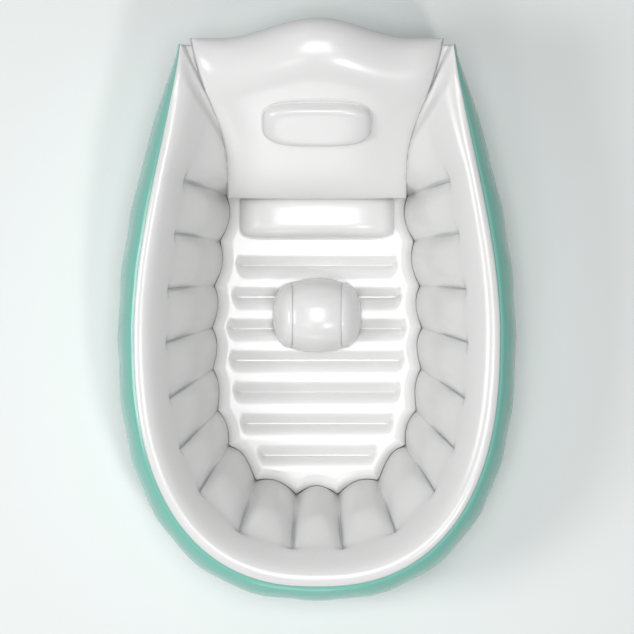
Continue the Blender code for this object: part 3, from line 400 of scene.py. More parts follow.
# The backrest lies on the head end's wall, whose rim therefore follows its underside
FLANGE = 0.005
REST_GAP = 0.0012
AIR_FLOOR_TOP = 0.052
SEAT_HEIGHT = 0.040
BACKREST_FOOT_Y = BASIN_CORNER[1] - 0.067
BACKREST_LEAN = math.radians(42)
BACKREST_LENGTH = 0.303
BACKREST_FOOT_HALF_WIDTH = 0.1505
BACKREST_HEAD_HALF_WIDTH = 0.205
BACKREST_FLARE_START = 0.25
BACKREST_FLARE_LENGTH = 0.9
BACKREST_ARCH = 0.038
BACKREST_ARCH_HALF_WIDTH = 0.157
ROLL_RADIUS = 0.0988
ROLL_FALL = math.radians(14)
FRONT_BULGE = 0.022
BACK_BULGE = 0.016
HALVINGS = 40


def backrest_half_width(up_share):
    flare = smooth((up_share - BACKREST_FLARE_START) / BACKREST_FLARE_LENGTH)
    return mix(BACKREST_FOOT_HALF_WIDTH, BACKREST_HEAD_HALF_WIDTH, flare)


def backrest_reach(across):
    """How far up the backrest its top edge is: it arches in the middle."""
    bump = (1 + np.cos(math.pi * np.minimum(np.abs(across) / BACKREST_ARCH_HALF_WIDTH, 1))) / 2
    return BACKREST_LENGTH + BACKREST_ARCH * bump


def backrest_place(across, up, out):
    """A place across the backrest, up it and out of its front. It leans back, then rolls over."""
    straight_reach = backrest_reach(across) - ROLL_RADIUS * (BACKREST_LEAN + ROLL_FALL)
    turn = np.maximum(up - straight_reach, 0) / ROLL_RADIUS
    straight = np.minimum(up, straight_reach)
    slope = BACKREST_LEAN - turn
    lift = FLANGE * math.sin(BACKREST_LEAN) + 2 * SHEET + REST_GAP
    along = straight * math.cos(BACKREST_LEAN)
    along += ROLL_RADIUS * (math.sin(BACKREST_LEAN) - np.sin(slope))
    rise = straight * math.sin(BACKREST_LEAN)
    rise += ROLL_RADIUS * (np.cos(slope) - math.cos(BACKREST_LEAN))
    y = BACKREST_FOOT_Y + along - out * np.sin(slope)
    z = AIR_FLOOR_TOP + SEAT_HEIGHT + lift + rise + out * np.cos(slope)
    return np.stack([across + 0 * y, y, z], -1)


def back_depth(across_share, up_share):
    sides = (1 - np.abs(across_share) ** 5) ** 0.5
    return BACK_BULGE * sides * np.maximum(np.sin(math.pi * up_share), 0)


def backrest_found(place_at, y):
    """The place up the backrest that lies at y along the bath, found by halving."""
    low = np.zeros(np.shape(y))
    high = np.ones(np.shape(y))
    for _ in range(HALVINGS):
        up_share = (low + high) / 2
        place = place_at(up_share)
        short = place[..., 1] < y
        low = np.where(short, up_share, low)
        high = np.where(short, high, up_share)
    return place


def backrest_underside(across, y):
    """How high the backrest's back sheet is above some places."""

    def place_at(up_share):
        half_width = backrest_half_width(up_share)
        across_share = np.minimum(np.abs(across) / half_width, 1)
        flat = across_share * half_width
        depth = back_depth(across_share, up_share)
        return backrest_place(flat, up_share * backrest_reach(flat), -depth)

    return backrest_found(place_at, y)[..., 2]


def backrest_edge(y):
    """How far out the backrest's side edges are, and how high, at places along the bath."""

    def place_at(up_share):
        edge = backrest_half_width(up_share)
        return backrest_place(edge, up_share * backrest_reach(edge), 0)

    place = backrest_found(place_at, y)
    return place[..., 0], place[..., 2]


def rim_height(station):
    far = np.abs(station)
    rim = RIM.at(far)
    x = rim[..., 0]
    reach = BACKREST_HEAD_HALF_WIDTH + FLANGE
    under = backrest_underside(x, rim[..., 1]) - FLANGE - SHEET - REST_GAP
    head = mix(under, RIM_TIP_HEIGHT, smooth((x - reach) / (RIM_CORNER[0] - reach)))
    foot = mix(RIM_FOOT_HEIGHT, RIM_SIDE_HEIGHT, smooth(2 * far / HEAD_CORNER))
    side = foot + (RIM_TIP_HEIGHT - RIM_SIDE_HEIGHT) * smooth(2 * far / HEAD_CORNER - 1)
    return np.where(far > HEAD_CORNER, head, side)


def ring_stations(lobe_shares, back_shares, corner_steps=1):
    """Stations all round the ring: so many to each lobe, and to each half of the head end."""
    right = {lobe + share for lobe in range(CREASES + 1) for share in lobe_shares}
    right |= {HEAD_CORNER - 0.94 + 0.90 * step / corner_steps for step in range(1, corner_steps)}
    right = [0] + sorted(s for s in right if 0 < s < HEAD_CORNER)
    right += [HEAD_CORNER + share for share in back_shares]
    return np.array([-s for s in reversed(right)] + right[1:])


FLOOR_LINE_HEIGHT = 0.036
SIDE_HANDLE_SHARES = ((0.10, 0.35), (0.62, 1.13))
BACK_HANDLE_SHARES = ((0.05, 0.55), (0.45, 1.0))
CORNER_STEPS = 44
TUCK = 0.022
PRESSED_DROP = 0.0025
PRESSED_SLOPE = 0.75
PRESSED_CORNER_SLOPE = 0.35
PRESSED_TUCK_SLOPE = 1.6
PRESSED_SOFTNESS = 0.022
PRESSED_TUCK_REACH = 0.016
CREASE_TOP_SHARE = 0.615
LOBE_FADE_SHARE = 0.38
LOBE_DEPTH_FOOT = 0.0175
LOBE_DEPTH_SIDE = 0.0098
LOBE_DEPTH_HEAD = 0.014
LOBE_FOOT_END = 2.1
LOBE_SIDE_START = 3.4
LOBE_SIDE_END = 7.2
STRIP_HALF_SHARE = 0.019
STRIP_DEPTH = 0.0007
DENT_DEPTH = 0.0085
DENT_REACH_SHARE = 0.28
BAR_DEPTH = 0.0014
BAR_HALF_SHARE = 0.0042
BAR_FOOT_SHARE = 0.11
BAR_HEAD_SHARE = 0.035
BACKREST_BACK_ROOM = 0.004
CREASE_SHARES = (0, 0.010, 0.017, 0.021, 0.030, 0.045, 0.07, 0.10, 0.14, 0.19, 0.25, 0.32, 0.41)
INNER_LOBE_SHARES = (
    0,
    *(0.5 - share for share in reversed(CREASE_SHARES)),
    *(0.5 + share for share in CREASE_SHARES[1:]),
)
BACK_SHARES = (0, 0.03, 0.06, 0.09, 0.13, 0.18, 0.25, 0.33, 0.42, 0.52, 0.62, 0.74, 0.87, 1)
BAR_ROW_OFFSETS = (0, 0.0035, 0.007, 0.013, 0.022, 0.034)
INNER_ROW_SHARES = np.concatenate(
    [
        np.linspace(0, CREASE_TOP_SHARE - 0.05, 32),
        [CREASE_TOP_SHARE - offset for offset in BAR_ROW_OFFSETS[:0:-1]],
        [CREASE_TOP_SHARE + offset for offset in BAR_ROW_OFFSETS],
        np.linspace(CREASE_TOP_SHARE + 0.05, 0.97, 18),
        (0.98, 0.99, 1),
    ]
)


def lobe_fullness(station):
    """How full a lobe is: 1 in its middle, 0 at a crease and along the head end's wall."""
    far = np.abs(station)
    from_crease = np.abs((far + 1) % 1 - 0.5)
    across = np.clip((from_crease - STRIP_HALF_SHARE) / (0.5 - STRIP_HALF_SHARE), 0, 1)
    return np.where(far < HEAD_CORNER, 1 - (1 - across) ** 2, 0)


def lobe_depth(station):
    """The lobes are deepest round the foot."""
    far = np.abs(station)
    to_side = smooth((far - LOBE_FOOT_END) / (LOBE_SIDE_START - LOBE_FOOT_END))
    to_head = smooth((far - LOBE_SIDE_END) / (HEAD_CORNER - LOBE_SIDE_END))
    return mix(mix(LOBE_DEPTH_FOOT, LOBE_DEPTH_SIDE, to_side), LOBE_DEPTH_HEAD, to_head)


def weld_marks(station, share):
    """Where a crease's weld strip and cross bar lie, and how far the sheet dips beside them."""
    far = np.abs(station)
    from_crease = (far + 1) % 1 - 0.5
    creased = (far < HEAD_CORNER - 0.5) | (np.abs(from_crease) > 0.45) & (far < HEAD_CORNER)
    near = np.abs(from_crease)
    ends = share < CREASE_TOP_SHARE + BAR_HALF_SHARE
    strip = creased & ends & (near < STRIP_HALF_SHARE)
    low = -BAR_FOOT_SHARE
    bar = creased & (np.abs(share - CREASE_TOP_SHARE) < BAR_HALF_SHARE)
    bar &= (from_crease > low) & (from_crease < BAR_HEAD_SHARE)
    begin = smooth((share - 0.2) / 0.3)
    fade = 1 - smooth((share - CREASE_TOP_SHARE + 0.02) / 0.06)
    dent = np.clip(1 - near / DENT_REACH_SHARE, 0, 1) ** 2 * begin * fade
    depth = DENT_DEPTH * dent * creased + STRIP_DEPTH * strip
    depth = np.maximum(depth, BAR_DEPTH * bar + DENT_DEPTH * dent * creased)
    return np.maximum(strip, bar).astype(float), depth


def pressed_by_backrest(station, share, plan, height):
    """The inner wall's places near the head, where it comes up against the backrest's edges."""
    far = np.abs(station)
    near_head = smooth((far - HEAD_CORNER + 1) / 0.4)
    past_corner = np.clip(far - HEAD_CORNER, 0, 1)
    tuck = TUCK * near_head * (1 - past_corner) * (1 - share) ** 1.5
    plan = plan - np.stack([np.sign(station) * tuck, 0 * tuck], -1)
    edge, edge_height = backrest_edge(plan[..., 1])
    beyond = np.abs(plan[..., 0]) - edge
    outer = np.maximum(beyond, 0)
    inner = np.clip(beyond, -PRESSED_TUCK_REACH, 0)
    tucked = edge_height - PRESSED_DROP + PRESSED_TUCK_SLOPE * inner
    side = tucked + PRESSED_SLOPE * outer
    softness = PRESSED_SOFTNESS * (1 - share)
    raised = (height + side + np.hypot(height - side, softness)) / 2
    lowered = np.minimum(height, tucked + PRESSED_CORNER_SLOPE * outer)
    pressed = mix(raised, lowered, smooth((far - HEAD_CORNER + 0.2) / 0.2))
    pressed = mix(height, pressed, near_head * (1 - share**6))
    under = backrest_underside(plan[..., 0], plan[..., 1]) - SHEET - REST_GAP
    under -= BACKREST_BACK_ROOM * (1 - share)
    covered = (near_head > 0) & (beyond < 0)
    return plan, np.where(covered, np.minimum(pressed, under), pressed)


def inner_wall_places(station, share, pressed=True):
    """The inner wall's sheet from the basin line, at share 0, to the seam at its rim."""
    low = BASIN.at(station)
    high = RIM.at(station)
    width = np.linalg.norm(high - low, axis=-1)
    out = (high - low) / width[..., None]
    top = rim_height(station)
    rise = top - FLOOR_LINE_HEIGHT
    behind = smooth(np.abs(station) - HEAD_CORNER + 1)
    handles = []
    for side_shares, back_shares in zip(SIDE_HANDLE_SHARES, BACK_HANDLE_SHARES):
        x = width * mix(side_shares[0], back_shares[0], behind)
        z = FLOOR_LINE_HEIGHT + rise * mix(side_shares[1], back_shares[1], behind)
        handles.append(np.stack([x, z], -1))
    foot = np.stack([0 * width, FLOOR_LINE_HEIGHT + 0 * width], -1)
    seam = np.stack([width, top], -1)
    t = share[..., None]
    first = mix(foot, handles[0], t)
    middle = mix(handles[0], handles[1], t)
    last = mix(handles[1], seam, t)
    left = mix(first, middle, t)
    right = mix(middle, last, t)
    place = mix(left, right, t)
    along = (right - left) / np.linalg.norm(right - left, axis=-1, keepdims=True)
    towards = np.stack([-along[..., 1], along[..., 0]], -1)
    fade = smooth((CREASE_TOP_SHARE - share) / (CREASE_TOP_SHARE - LOBE_FADE_SHARE))
    _, dip = weld_marks(station, share)
    swell = lobe_depth(station) * lobe_fullness(station) * fade - dip
    place = place + towards * swell[..., None]
    plan = low + out * place[..., :1]
    height = place[..., 1]
    if pressed:
        plan, height = pressed_by_backrest(station, share, plan, height)
    return np.concatenate([plan, height[..., None]], -1)


DRAIN_HEIGHT = 0.020
DRAIN_RADIUS = 0.0131
HEAD_END_Y = 0.27
BORE_SIDES = 32
BORE_ROOM = 0.035


def bore_head_end(bm, x, z, radius):
    """Bore a round hole along the bath through a sheet of the head end's wall."""
    axis = Vector((x, 0, z))

    def from_axis(face):
        middle = face.calc_center_median()
        off = Vector((middle.x, 0, middle.z)) - axis
        return off.length if middle.y > HEAD_END_Y else math.inf

    for turn in np.linspace(0, 2 * math.pi, BORE_SIDES, endpoint=False):
        out = Vector((math.cos(turn), 0, math.sin(turn)))
        near = [face for face in bm.faces if from_axis(face) < BORE_ROOM]
        edges = {edge for face in near for edge in face.edges}
        verts = {vert for face in near for vert in face.verts}
        parts = [*near, *edges, *verts]
        bmesh.ops.bisect_plane(bm, geom=parts, plane_co=axis + out * radius, plane_no=out)
    cut_out = [face for face in bm.faces if from_axis(face) < radius]
    bmesh.ops.delete(bm, geom=cut_out, context="FACES")


inner_stations = ring_stations(INNER_LOBE_SHARES, BACK_SHARES, CORNER_STEPS)
stations, shares = np.meshgrid(inner_stations, INNER_ROW_SHARES)
wall_places = inner_wall_places(stations, shares)
basin_line = BASIN.at(inner_stations)
wall_out = RIM.at(inner_stations) - basin_line
wall_out /= np.linalg.norm(wall_out, axis=-1, keepdims=True)
ground_row = np.column_stack([basin_line, np.full(len(basin_line), BASE_TOP + SHEET)])
flange_row = ground_row.copy()
flange_row[:, :2] += wall_out * FLANGE
lobe_row = inner_wall_places(inner_stations, 0 * inner_stations, pressed=False)
middle_row = (ground_row + lobe_row) / 2
lobe_top = lobe_row.copy()
lobe_top[:, 2] = np.minimum(AIR_FLOOR_TOP + 0.008, wall_places[0, :, 2])
wall_welds, _ = weld_marks(stations, shares)
wall_welds[-2:] = 1
low_welds = np.zeros((5, len(inner_stations)))
inner = grid_of(
    np.concatenate([[flange_row, ground_row, middle_row, lobe_row, lobe_top], wall_places]),
    np.concatenate([low_welds, wall_welds]),
    closed=True,
    turned_over=True,
)
bore_head_end(inner, 0, DRAIN_HEIGHT, DRAIN_RADIUS)
inner_wall = sheet_object("inner_wall", inner, WHITE_VINYL)
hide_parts("wall_inner_sheet")


# Outer wall
# The mint sheet that goes round the outside of the ring chamber, from the seam at its rim down to
# the seam at its base. Blown up, it bulges out, and it has a hole for the wall valve and the drain.
LAP = 0.006
LAP_AIM_SHARE = 0.97
BULGE_SIDE = 0.0395
BULGE_FOOT = 0.0407
BULGE_CORNER = (RIM_CORNER[0] + 0.012, RIM_CORNER[1] + 0.004)
BASE_SHARE = 0.3
WAVE_DEPTH = 0.0025
OUTER_LOBE_SHARES = tuple(i / 14 for i in range(14))
OUTER_ROWS = 44
WALL_VALVE_X = 0.110
WALL_VALVE_HEIGHT = 0.125
WALL_VALVE_HOLE_RADIUS = 0.0125

BULGE = WallLine(
    BASIN_HALF_WIDTH + WALL_SIDE + BULGE_SIDE,
    -RIM_SETBACK,
    BASIN_FOOT_REACH + WALL_FOOT + BULGE_FOOT - RIM_SETBACK,
    BULGE_CORNER,
    0.020,
    2.4,
    0.61,
    RIM_CREASE_SHARES,
)

outer_stations = ring_stations(OUTER_LOBE_SHARES, BACK_SHARES)
rim_line = RIM.at(outer_stations)
bulge_line = BULGE.at(outer_stations)
rim_heights = rim_height(outer_stations)
outwards = bulge_line - rim_line
outward = outwards / np.linalg.norm(outwards, axis=1, keepdims=True)
waves = np.where(
    np.abs(outer_stations) < HEAD_CORNER,
    WAVE_DEPTH * (1 - np.cos(2 * math.pi * outer_stations)) / 2,
    0,
)
rows = []
for turn in np.linspace(0, math.pi, OUTER_ROWS + 1):
    sideways = outwards * (1 - BASE_SHARE / 2) - outward * waves[:, None]
    plan = rim_line + sideways * math.sin(turn) + outwards * BASE_SHARE * (1 - math.cos(turn)) / 2
    heights = BASE_TOP + (rim_heights - BASE_TOP) * (1 + math.cos(turn)) / 2
    rows.append(np.column_stack([plan, heights]))
lap_aims = np.full(len(outer_stations), LAP_AIM_SHARE)
down_the_sheet = inner_wall_places(outer_stations, lap_aims) - rows[0]
down_the_sheet /= np.linalg.norm(down_the_sheet, axis=1, keepdims=True)
lap = rows[0] + down_the_sheet * LAP
foot = rows[-1].copy()
foot[:, :2] -= outward * LAP
outer_places = np.array([lap, *rows, foot])
outer_welds = np.zeros(outer_places.shape[:2])
outer_welds[:2] = 1
outer_welds[-2:] = 1
outer = grid_of(outer_places, outer_welds, closed=True, turned_over=True)
for vert in outer.verts:
    if vert.co.z > BASE_TOP + GAP:
        vert.co -= vert.normal * (SHEET + GAP)
bore_head_end(outer, 0, DRAIN_HEIGHT, DRAIN_RADIUS)
bore_head_end(outer, WALL_VALVE_X, WALL_VALVE_HEIGHT, WALL_VALVE_HOLE_RADIUS)
outer_wall = sheet_object("outer_wall", outer, MINT_VINYL)
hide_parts("wall_outer_sheet")


# Base
# The flat mint sheet that the bath stands on, welded to the foot of the outer wall all round. The
# air floor's valve is let into it.
FLOOR_VALVE_HOLE_RADIUS = 0.0106
BASE_LOBE_SHARES = tuple(i / 8 for i in range(8))
valve_low, valve_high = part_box("floor_valve_cup")
valve_place = (valve_low + valve_high) / 2

base_stations = ring_stations(BASE_LOBE_SHARES, BACK_SHARES)[:-1]
base_line = RIM.at(base_stations) + (BULGE.at(base_stations) - RIM.at(base_stations)) * BASE_SHARE
base = bmesh.new()
base_weld = base.verts.layers.float.new("weld")
outline = [base.verts.new((x, y, SHEET)) for x, y in base_line]
for vert in outline:
    vert[base_weld] = 1
base_edges = [base.edges.new(pair) for pair in zip(outline, outline[1:] + outline[:1])]
hole = bmesh.ops.create_circle(base, segments=64, radius=FLOOR_VALVE_HOLE_RADIUS)["verts"]
bmesh.ops.translate(base, vec=(valve_place.x, valve_place.y - BATH_Y, SHEET), verts=hole)
bmesh.ops.triangle_fill(base, use_beauty=True, edges=base.edges, normal=(0, 0, 1))
base.normal_update()
if sum(face.normal.z for face in base.faces) < 0:
    bmesh.ops.reverse_faces(base, faces=base.faces)
base_sheet = sheet_object("base", base, MINT_VINYL)
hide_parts("base_sheet")


# Air floor
# The white top sheet of the floor chamber, which fills out against the wall's lobes. Seven welds
# across it draw it down into grooves, and leave a flat bright line at the bottom of each.
FLOOR_CLEARANCE = 0.0001
FLOOR_EDGE_WIDTH = 0.022
FLOOR_EDGE_POWER = 2.6
FLOOR_EDGE_FOOT = 0.038
FLOOR_HEAD_Y = BASIN_CORNER[1] + 0.015 - 0.028
CREASE_FILL_SHARE = 0.12
GROOVES = 7
GROOVE_FIRST_Y = 0.1093
GROOVE_FOOT_MARGIN = 0.0525
GROOVE_DEPTH = 0.0125
GROOVE_STRIP_HALF = 0.0011
GROOVE_STRIP_DEPTH = 0.0004
GROOVE_END_MARGIN = 0.024
GROOVE_FADE = 0.013
GROOVE_HEAD_REACH = 0.0145
GROOVE_HEAD_POWER = 1.2
GROOVE_FOOT_REACHES = (0.012, 0.026)
MAT_COLUMNS = 120
MAT_END_ROWS = 46
MAT_HEAD_ROWS = 44


def floor_edge(station):
    """The air floor's outline, which follows the wall's lobes and rounds off their creases."""
    line = BASIN.at(station)
    out = RIM.at(station) - line
    out /= np.linalg.norm(out, axis=-1, keepdims=True)
    inwards = lobe_depth(station) * mix(CREASE_FILL_SHARE, 1, lobe_fullness(station))
    return line - out * (inwards + FLOOR_CLEARANCE)[..., None]


floor_line = floor_edge(np.linspace(0, HEAD_CORNER, 304))
foot_y = floor_line[0, 1]
groove_lines = np.linspace(GROOVE_FIRST_Y, foot_y + GROOVE_FOOT_MARGIN, GROOVES)
groove_pitch = (groove_lines[0] - groove_lines[-1]) / (GROOVES - 1)


def floor_half_width(y):
    """Half the air floor's width, across the bath."""
    order = np.argsort(floor_line[:, 1])
    return np.interp(y, floor_line[order, 1], floor_line[order, 0])


def floor_foot(x):
    """Where the air floor's foot end is, along the bath."""
    order = np.argsort(floor_line[:, 0])
    return np.interp(np.abs(x), floor_line[order, 0], floor_line[order, 1])


def floor_edge_distance(x, y):
    place = np.stack([np.abs(x), y], -1)
    least = FLOOR_HEAD_Y - y
    for a, b in zip(floor_line, floor_line[1:]):
        along = b - a
        share = np.clip((place - a) @ along / (along @ along), 0, 1)
        near = np.linalg.norm(place - a - share[..., None] * along, axis=-1)
        least = np.minimum(least, near)
    return least


def floor_surface(x, y):
    """The air floor's height, and how welded it is there."""
    edge = np.clip(floor_edge_distance(x, y) / FLOOR_EDGE_WIDTH, 0, 1)
    rise = 1 - (1 - edge) ** FLOOR_EDGE_POWER
    dip = np.zeros(np.shape(x))
    weld = np.zeros(np.shape(x))
    for line in groove_lines:
        half_length = floor_half_width(line) - GROOVE_END_MARGIN
        turned_up = 0.003 * smooth((np.abs(x) - half_length + GROOVE_FADE) / 0.008)
        offset = y - line - turned_up
        along = smooth((half_length - np.abs(x)) / GROOVE_FADE)
        from_strip = np.maximum(np.abs(offset) - GROOVE_STRIP_HALF, 0)
        head = np.clip(1 - from_strip / GROOVE_HEAD_REACH, 0, 1) ** GROOVE_HEAD_POWER
        steep, shallow = (np.clip(1 - from_strip / reach, 0, 1) for reach in GROOVE_FOOT_REACHES)
        foot = (steep**2 + shallow**1.8) / 2
        dip = np.maximum(dip, np.where(offset > 0, head, foot) * along)
        strip = (np.abs(offset) < GROOVE_STRIP_HALF) & (np.abs(x) < half_length)
        weld = np.maximum(weld, strip)
    top = AIR_FLOOR_TOP - GROOVE_DEPTH * dip - GROOVE_STRIP_DEPTH * weld
    return mix(FLOOR_EDGE_FOOT, top, rise), weld


groove_offsets = (0, 0.0007, 0.0011, 0.0015, 0.0026, *np.arange(0.0045, 0.0265, 0.0026))
y_rows = set()
for line in groove_lines:
    y_rows.update(line + side * offset for offset in groove_offsets for side in (-1, 1))
y_rows = sorted(y_rows) + list(groove_lines + groove_pitch / 2)
y_rows = np.array(sorted(y_rows))
bend = y_rows[0]
head_turns = np.linspace(0, math.pi / 2, MAT_HEAD_ROWS)[1:]
y_rows = np.concatenate([y_rows, mix(y_rows[-1], FLOOR_HEAD_Y, np.sin(head_turns))])
across_shares = np.sin(np.linspace(-math.pi / 2, math.pi / 2, MAT_COLUMNS + 1))
end_x = across_shares * floor_half_width(bend)
end_turns = np.linspace(math.pi / 2, 0, MAT_END_ROWS, endpoint=False)
end_rows = [
    np.column_stack([end_x, mix(bend, np.minimum(floor_foot(end_x), bend), math.sin(turn))])
    for turn in end_turns
]
mat_rows = [
    np.column_stack([across_shares * floor_half_width(y), np.full(len(end_x), y)]) for y in y_rows
]
mat_plan = np.array(end_rows + mat_rows)
mat_plan = np.pad(mat_plan, ((2, 2), (2, 2), (0, 0)), mode="edge")
mat_x, mat_y = mat_plan[..., 0], mat_plan[..., 1]
mat_z, mat_welds = floor_surface(mat_x, mat_y)
for ring in (0, 1):
    for border in (np.s_[ring, :], np.s_[-1 - ring, :], np.s_[:, ring], np.s_[:, -1 - ring]):
        mat_z[border] = BASE_TOP + SHEET
        mat_welds[border] = 1 - ring
mat_places = np.stack([mat_x, mat_y, mat_z], -1)
heart = np.stack([0 * mat_x, np.clip(mat_y, bend, y_rows[-MAT_HEAD_ROWS])], -1)
for border in (np.s_[0, :], np.s_[-1, :], np.s_[1:-1, 0], np.s_[1:-1, -1]):
    inwards = heart[border] - mat_plan[border]
    inwards /= np.linalg.norm(inwards, axis=-1, keepdims=True)
    mat_places[border][..., :2] += inwards * FLANGE
mat = grid_of(mat_places, mat_welds, closed=True)
air_floor = sheet_object("air_floor", mat, WHITE_VINYL)
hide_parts("floor_top_sheet")


# Seat pillow
# A white cushion of air welded to the air floor at its head end, under the backrest's foot. It
# keeps a sitting baby from sliding back.
SEAT_FRONT_Y = GROOVE_FIRST_Y + 0.0457
SEAT_BACK_Y = BACKREST_FOOT_Y + 0.011
SEAT_FULLNESS = 7
PILLOW_CROWN = 4.5
SEAT_FLANGE = 0.0022
SEAT_SIDE_ROOM = 0.020
seat_ends = (floor_half_width(SEAT_FRONT_Y), floor_half_width(SEAT_BACK_Y))
seat_half_width = min(seat_ends) - SEAT_SIDE_ROOM


def pillow_grid(columns, rows, fullness, crown=PILLOW_CROWN):
    """Places on a rounded rectangle of -1 to 1, closer at its edges, and how blown out each is.

    The pillow's height lines are ellipses in its middle, and turn into its outline at its edge.
    """
    p, q = np.meshgrid(
        np.sin(np.linspace(-math.pi / 2, math.pi / 2, columns + 1)),
        np.sin(np.linspace(-math.pi / 2, math.pi / 2, rows + 1)),
    )
    ring = np.maximum(np.abs(p), np.abs(q))
    squareness = 2 + (fullness - 2) * ring**2
    far = (np.abs(p) ** squareness + np.abs(q) ** squareness) ** (1 / squareness)
    scale = ring / np.maximum(far, 1e-9)
    blown = (1 - ring**crown) ** 0.5
    return p * scale, q * scale, blown


def border(grid, rings):
    """True on a grid's outermost rings."""
    marked = np.ones(grid.shape, bool)
    marked[rings:-rings, rings:-rings] = False
    return marked


def flanged(across, along, blown):
    """A pillow's places with a ring outside them for its weld: its places, swell and weld."""
    grids = [np.pad(grid, 1, mode="edge") for grid in (across, along, blown)]
    return *grids, border(grids[0], 2).astype(float)


seat_across, seat_along, seat_blown = pillow_grid(90, 66, SEAT_FULLNESS)
seat_across, seat_along, seat_blown, seat_welds = flanged(seat_across, seat_along, seat_blown)
seat_half_length = (SEAT_BACK_Y - SEAT_FRONT_Y) / 2
seat_x = seat_across * seat_half_width
seat_y = SEAT_FRONT_Y + seat_half_length * (1 + seat_along)
edge = border(seat_x, 1)
outer_x = seat_x * (1 + SEAT_FLANGE / seat_half_width)
outer_y = seat_y + seat_along * SEAT_FLANGE
seat_x = np.where(edge, outer_x, seat_x)
seat_y = np.where(edge, outer_y, seat_y)
floor_z, _ = floor_surface(seat_x, seat_y)
seat_z = floor_z + REST_GAP + SEAT_HEIGHT * seat_blown
seat = grid_of(np.stack([seat_x, seat_y, seat_z], -1), seat_welds, closed=True)
seat_pillow = sheet_object("seat_cushion", seat, WHITE_VINYL)
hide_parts("seat_pillow")


# Saddle horn
# A hollow post of white vinyl between the baby's legs, welded to the air floor. A band is arched
# from front to back, and a rounded gusset closes each side of it.
HORN_HALF_LENGTH = 0.064
HORN_HEIGHT = 0.090
HORN_BAND_WIDTH = 0.081
HORN_BAND_FLARE = 0.008
HORN_GUSSET_BULGE = 0.036
HORN_FULLNESS = 2.6
HORN_CROWN_LENGTH = 0.008
HORN_CROWN_HEIGHT = 0.006
HORN_SEAM_DEPTH = 0.0003
HORN_ARCH_STEPS = 110
HORN_BAND_SHARES = (0, 0.25, 0.5, 0.7, 0.85, 0.93, 0.97, 1)
HORN_SEAM_SHARE = 0.96


def horn_arch(turn_share, side_share):
    """The band's profile from the foot side over the top: along the bath, and up. It is crowned."""
    turn = math.pi * (turn_share - 0.5)
    side = np.sin(turn)
    along = np.sign(side) * np.abs(side) ** (2 / HORN_FULLNESS)
    up = np.maximum(np.cos(turn), 0) ** (2 / HORN_FULLNESS)
    half_length = HORN_HALF_LENGTH - HORN_CROWN_LENGTH * side_share**2
    return along * half_length, up * (HORN_HEIGHT - HORN_CROWN_HEIGHT * side_share**2)


def horn_half_band(up):
    """The band widens towards its feet."""
    return HORN_BAND_WIDTH / 2 + HORN_BAND_FLARE * (1 - up / HORN_HEIGHT) ** 2


HORN_GROUND = AIR_FLOOR_TOP + GAP + SHEET
across, turn_shares = np.meshgrid(
    np.array([*(-share for share in HORN_BAND_SHARES[:0:-1]), *HORN_BAND_SHARES]),
    np.linspace(0, 1, HORN_ARCH_STEPS + 1),
)
along, up = horn_arch(turn_shares, across)
on_seam = (np.abs(across) > HORN_SEAM_SHARE).astype(float)
band_scale = 1 - HORN_SEAM_DEPTH / HORN_HEIGHT * on_seam
band_places = np.stack(
    [across * horn_half_band(up), HORN_Y + along * band_scale, HORN_GROUND + up * band_scale], -1
)
band = grid_of(band_places, on_seam)
horn_band = sheet_object("horn_front_band", band, WHITE_VINYL)
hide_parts("horn_band")

for name, side in (("horn_gusset_left", -1), ("horn_gusset_right", 1)):
    turns, turn_shares = np.meshgrid(
        np.concatenate([[0, 0.02, 0.04], np.linspace(0.07, 1, 30)]) * math.pi / 2,
        np.linspace(0, 1, HORN_ARCH_STEPS + 1),
    )
    along, up = horn_arch(turn_shares, 1)
    keep = np.cos(turns)
    x = mix(horn_half_band(up) + GAP, HORN_BAND_WIDTH / 2 + GAP + HORN_GUSSET_BULGE, np.sin(turns))
    places = np.stack([side * x, HORN_Y + along * keep, HORN_GROUND + up * keep], -1)
    welds = (turns < 0.05 * math.pi / 2).astype(float)
    gusset = grid_of(places, welds, closed=True, turned_over=side < 0)
    piece = sheet_object(name.replace("horn_", "horn_side_"), gusset, WHITE_VINYL)
    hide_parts(name)


# Backrest
# Two white sheets welded together all round with a flat seam, and blown up like a mattress. It
# leans from the seat pillow to the head end's rim, and rolls over that rim.
BACKREST_COLUMNS = 110
BACKREST_ROWS = 120
REST_FLANGE = 0.0042
REST_FLANGE_FOLD = math.radians(62)


def backrest_swell(across_share, up_share):
    sides = (1 - np.abs(across_share) ** 3.6) ** 0.5
    ends = (1 - np.abs(2 * up_share - 1) ** 6) ** 0.5
    return FRONT_BULGE * sides * ends


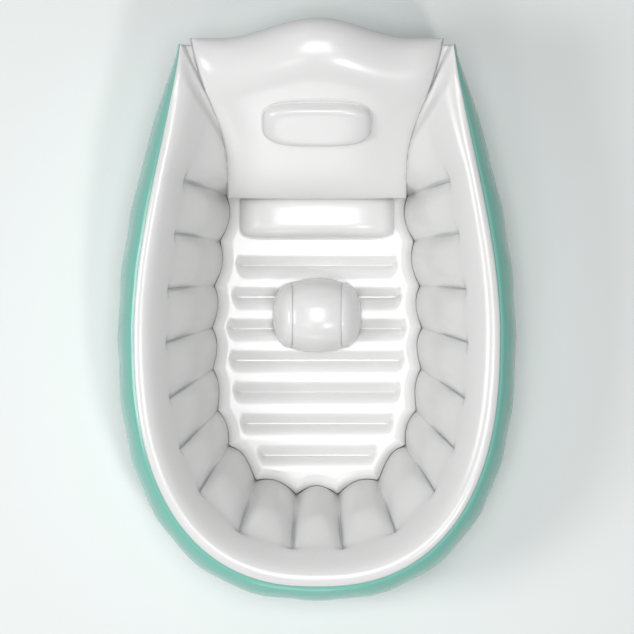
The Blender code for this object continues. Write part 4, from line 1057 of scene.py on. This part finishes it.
p, q = np.meshgrid(
    np.sin(np.linspace(-math.pi / 2, math.pi / 2, BACKREST_COLUMNS + 1)),
    (1 + np.sin(np.linspace(-math.pi / 2, math.pi / 2, BACKREST_ROWS + 1))) / 2,
)
rest_across = p * backrest_half_width(q)
rest_up = q * backrest_reach(rest_across)
for name, node, side in (
    ("backrest_front", "backrest_front_sheet", 1),
    ("backrest_back", "backrest_back_sheet", -1),
):
    bulge = backrest_swell(p, q) if side > 0 else back_depth(p, q)
    across, up, out = (np.pad(grid, 1, mode="edge") for grid in (rest_across, rest_up, bulge))
    out = side * (out + SHEET + GAP / 2)
    from_weld = side * (SHEET + GAP / 2)
    sideways = REST_FLANGE * math.cos(REST_FLANGE_FOLD) + from_weld * math.sin(REST_FLANGE_FOLD)
    across[:, 0] -= sideways
    across[:, -1] += sideways
    up[0] -= sideways
    up[-1] += sideways
    folded_back = from_weld * math.cos(REST_FLANGE_FOLD) - REST_FLANGE * math.sin(REST_FLANGE_FOLD)
    out = np.where(border(out, 1), folded_back, out)
    welds = border(out, 2).astype(float)
    rest = grid_of(backrest_place(across, up, out), welds, turned_over=side < 0)
    piece = sheet_object(name, rest, WHITE_VINYL)
    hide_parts(node)


# Headrest
# A small white pillow welded to the front of the backrest where the baby's head lies. Its front is
# bare.
HEADREST_HALF_WIDTH = 0.088
HEADREST_HALF_LENGTH = 0.03975
HEADREST_FROM_FOOT = 0.171
HEADREST_THICKNESS = 0.018
HEADREST_FLANGE = 0.0022
HEADREST_FULLNESS = 3.6
HEADREST_CROWN = 10


def backrest_front_out(across, up):
    """How far the backrest's front stands out at a place on it."""
    up_share = up / backrest_reach(across)
    across_share = np.clip(across / backrest_half_width(up_share), -1, 1)
    return backrest_swell(across_share, up_share) + SHEET + GAP / 2


head_grid = pillow_grid(96, 60, HEADREST_FULLNESS, HEADREST_CROWN)
head_across, head_along, head_blown, head_welds = flanged(*head_grid)
edge = border(head_across, 1)
across = head_across * (HEADREST_HALF_WIDTH + HEADREST_FLANGE * edge)
up = HEADREST_FROM_FOOT + head_along * (HEADREST_HALF_LENGTH + HEADREST_FLANGE * edge)
out = backrest_front_out(across, up) + REST_GAP + HEADREST_THICKNESS * head_blown
head = grid_of(backrest_place(across, up, out), head_welds, closed=True)
headrest = sheet_object("headrest", head, WHITE_VINYL)
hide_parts("headrest_pillow")


# Moulded valves and drain
# Soft translucent white vinyl, injection moulded and welded into the sheets.
MOULDED_VINYL = vinyl("moulded_vinyl", (0.82, 0.84, 0.83), (0.82, 0.84, 0.83), 0.34)
CLEAR_VINYL = vinyl("clear_vinyl", (0.78, 0.82, 0.82), (0.7, 0.74, 0.74), 0.25)
for name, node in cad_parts.items():
    if node.hide_render:
        continue
    material = CLEAR_VINYL if "strap" in name else MOULDED_VINYL
    node.data.materials.clear()
    node.data.materials.append(material)
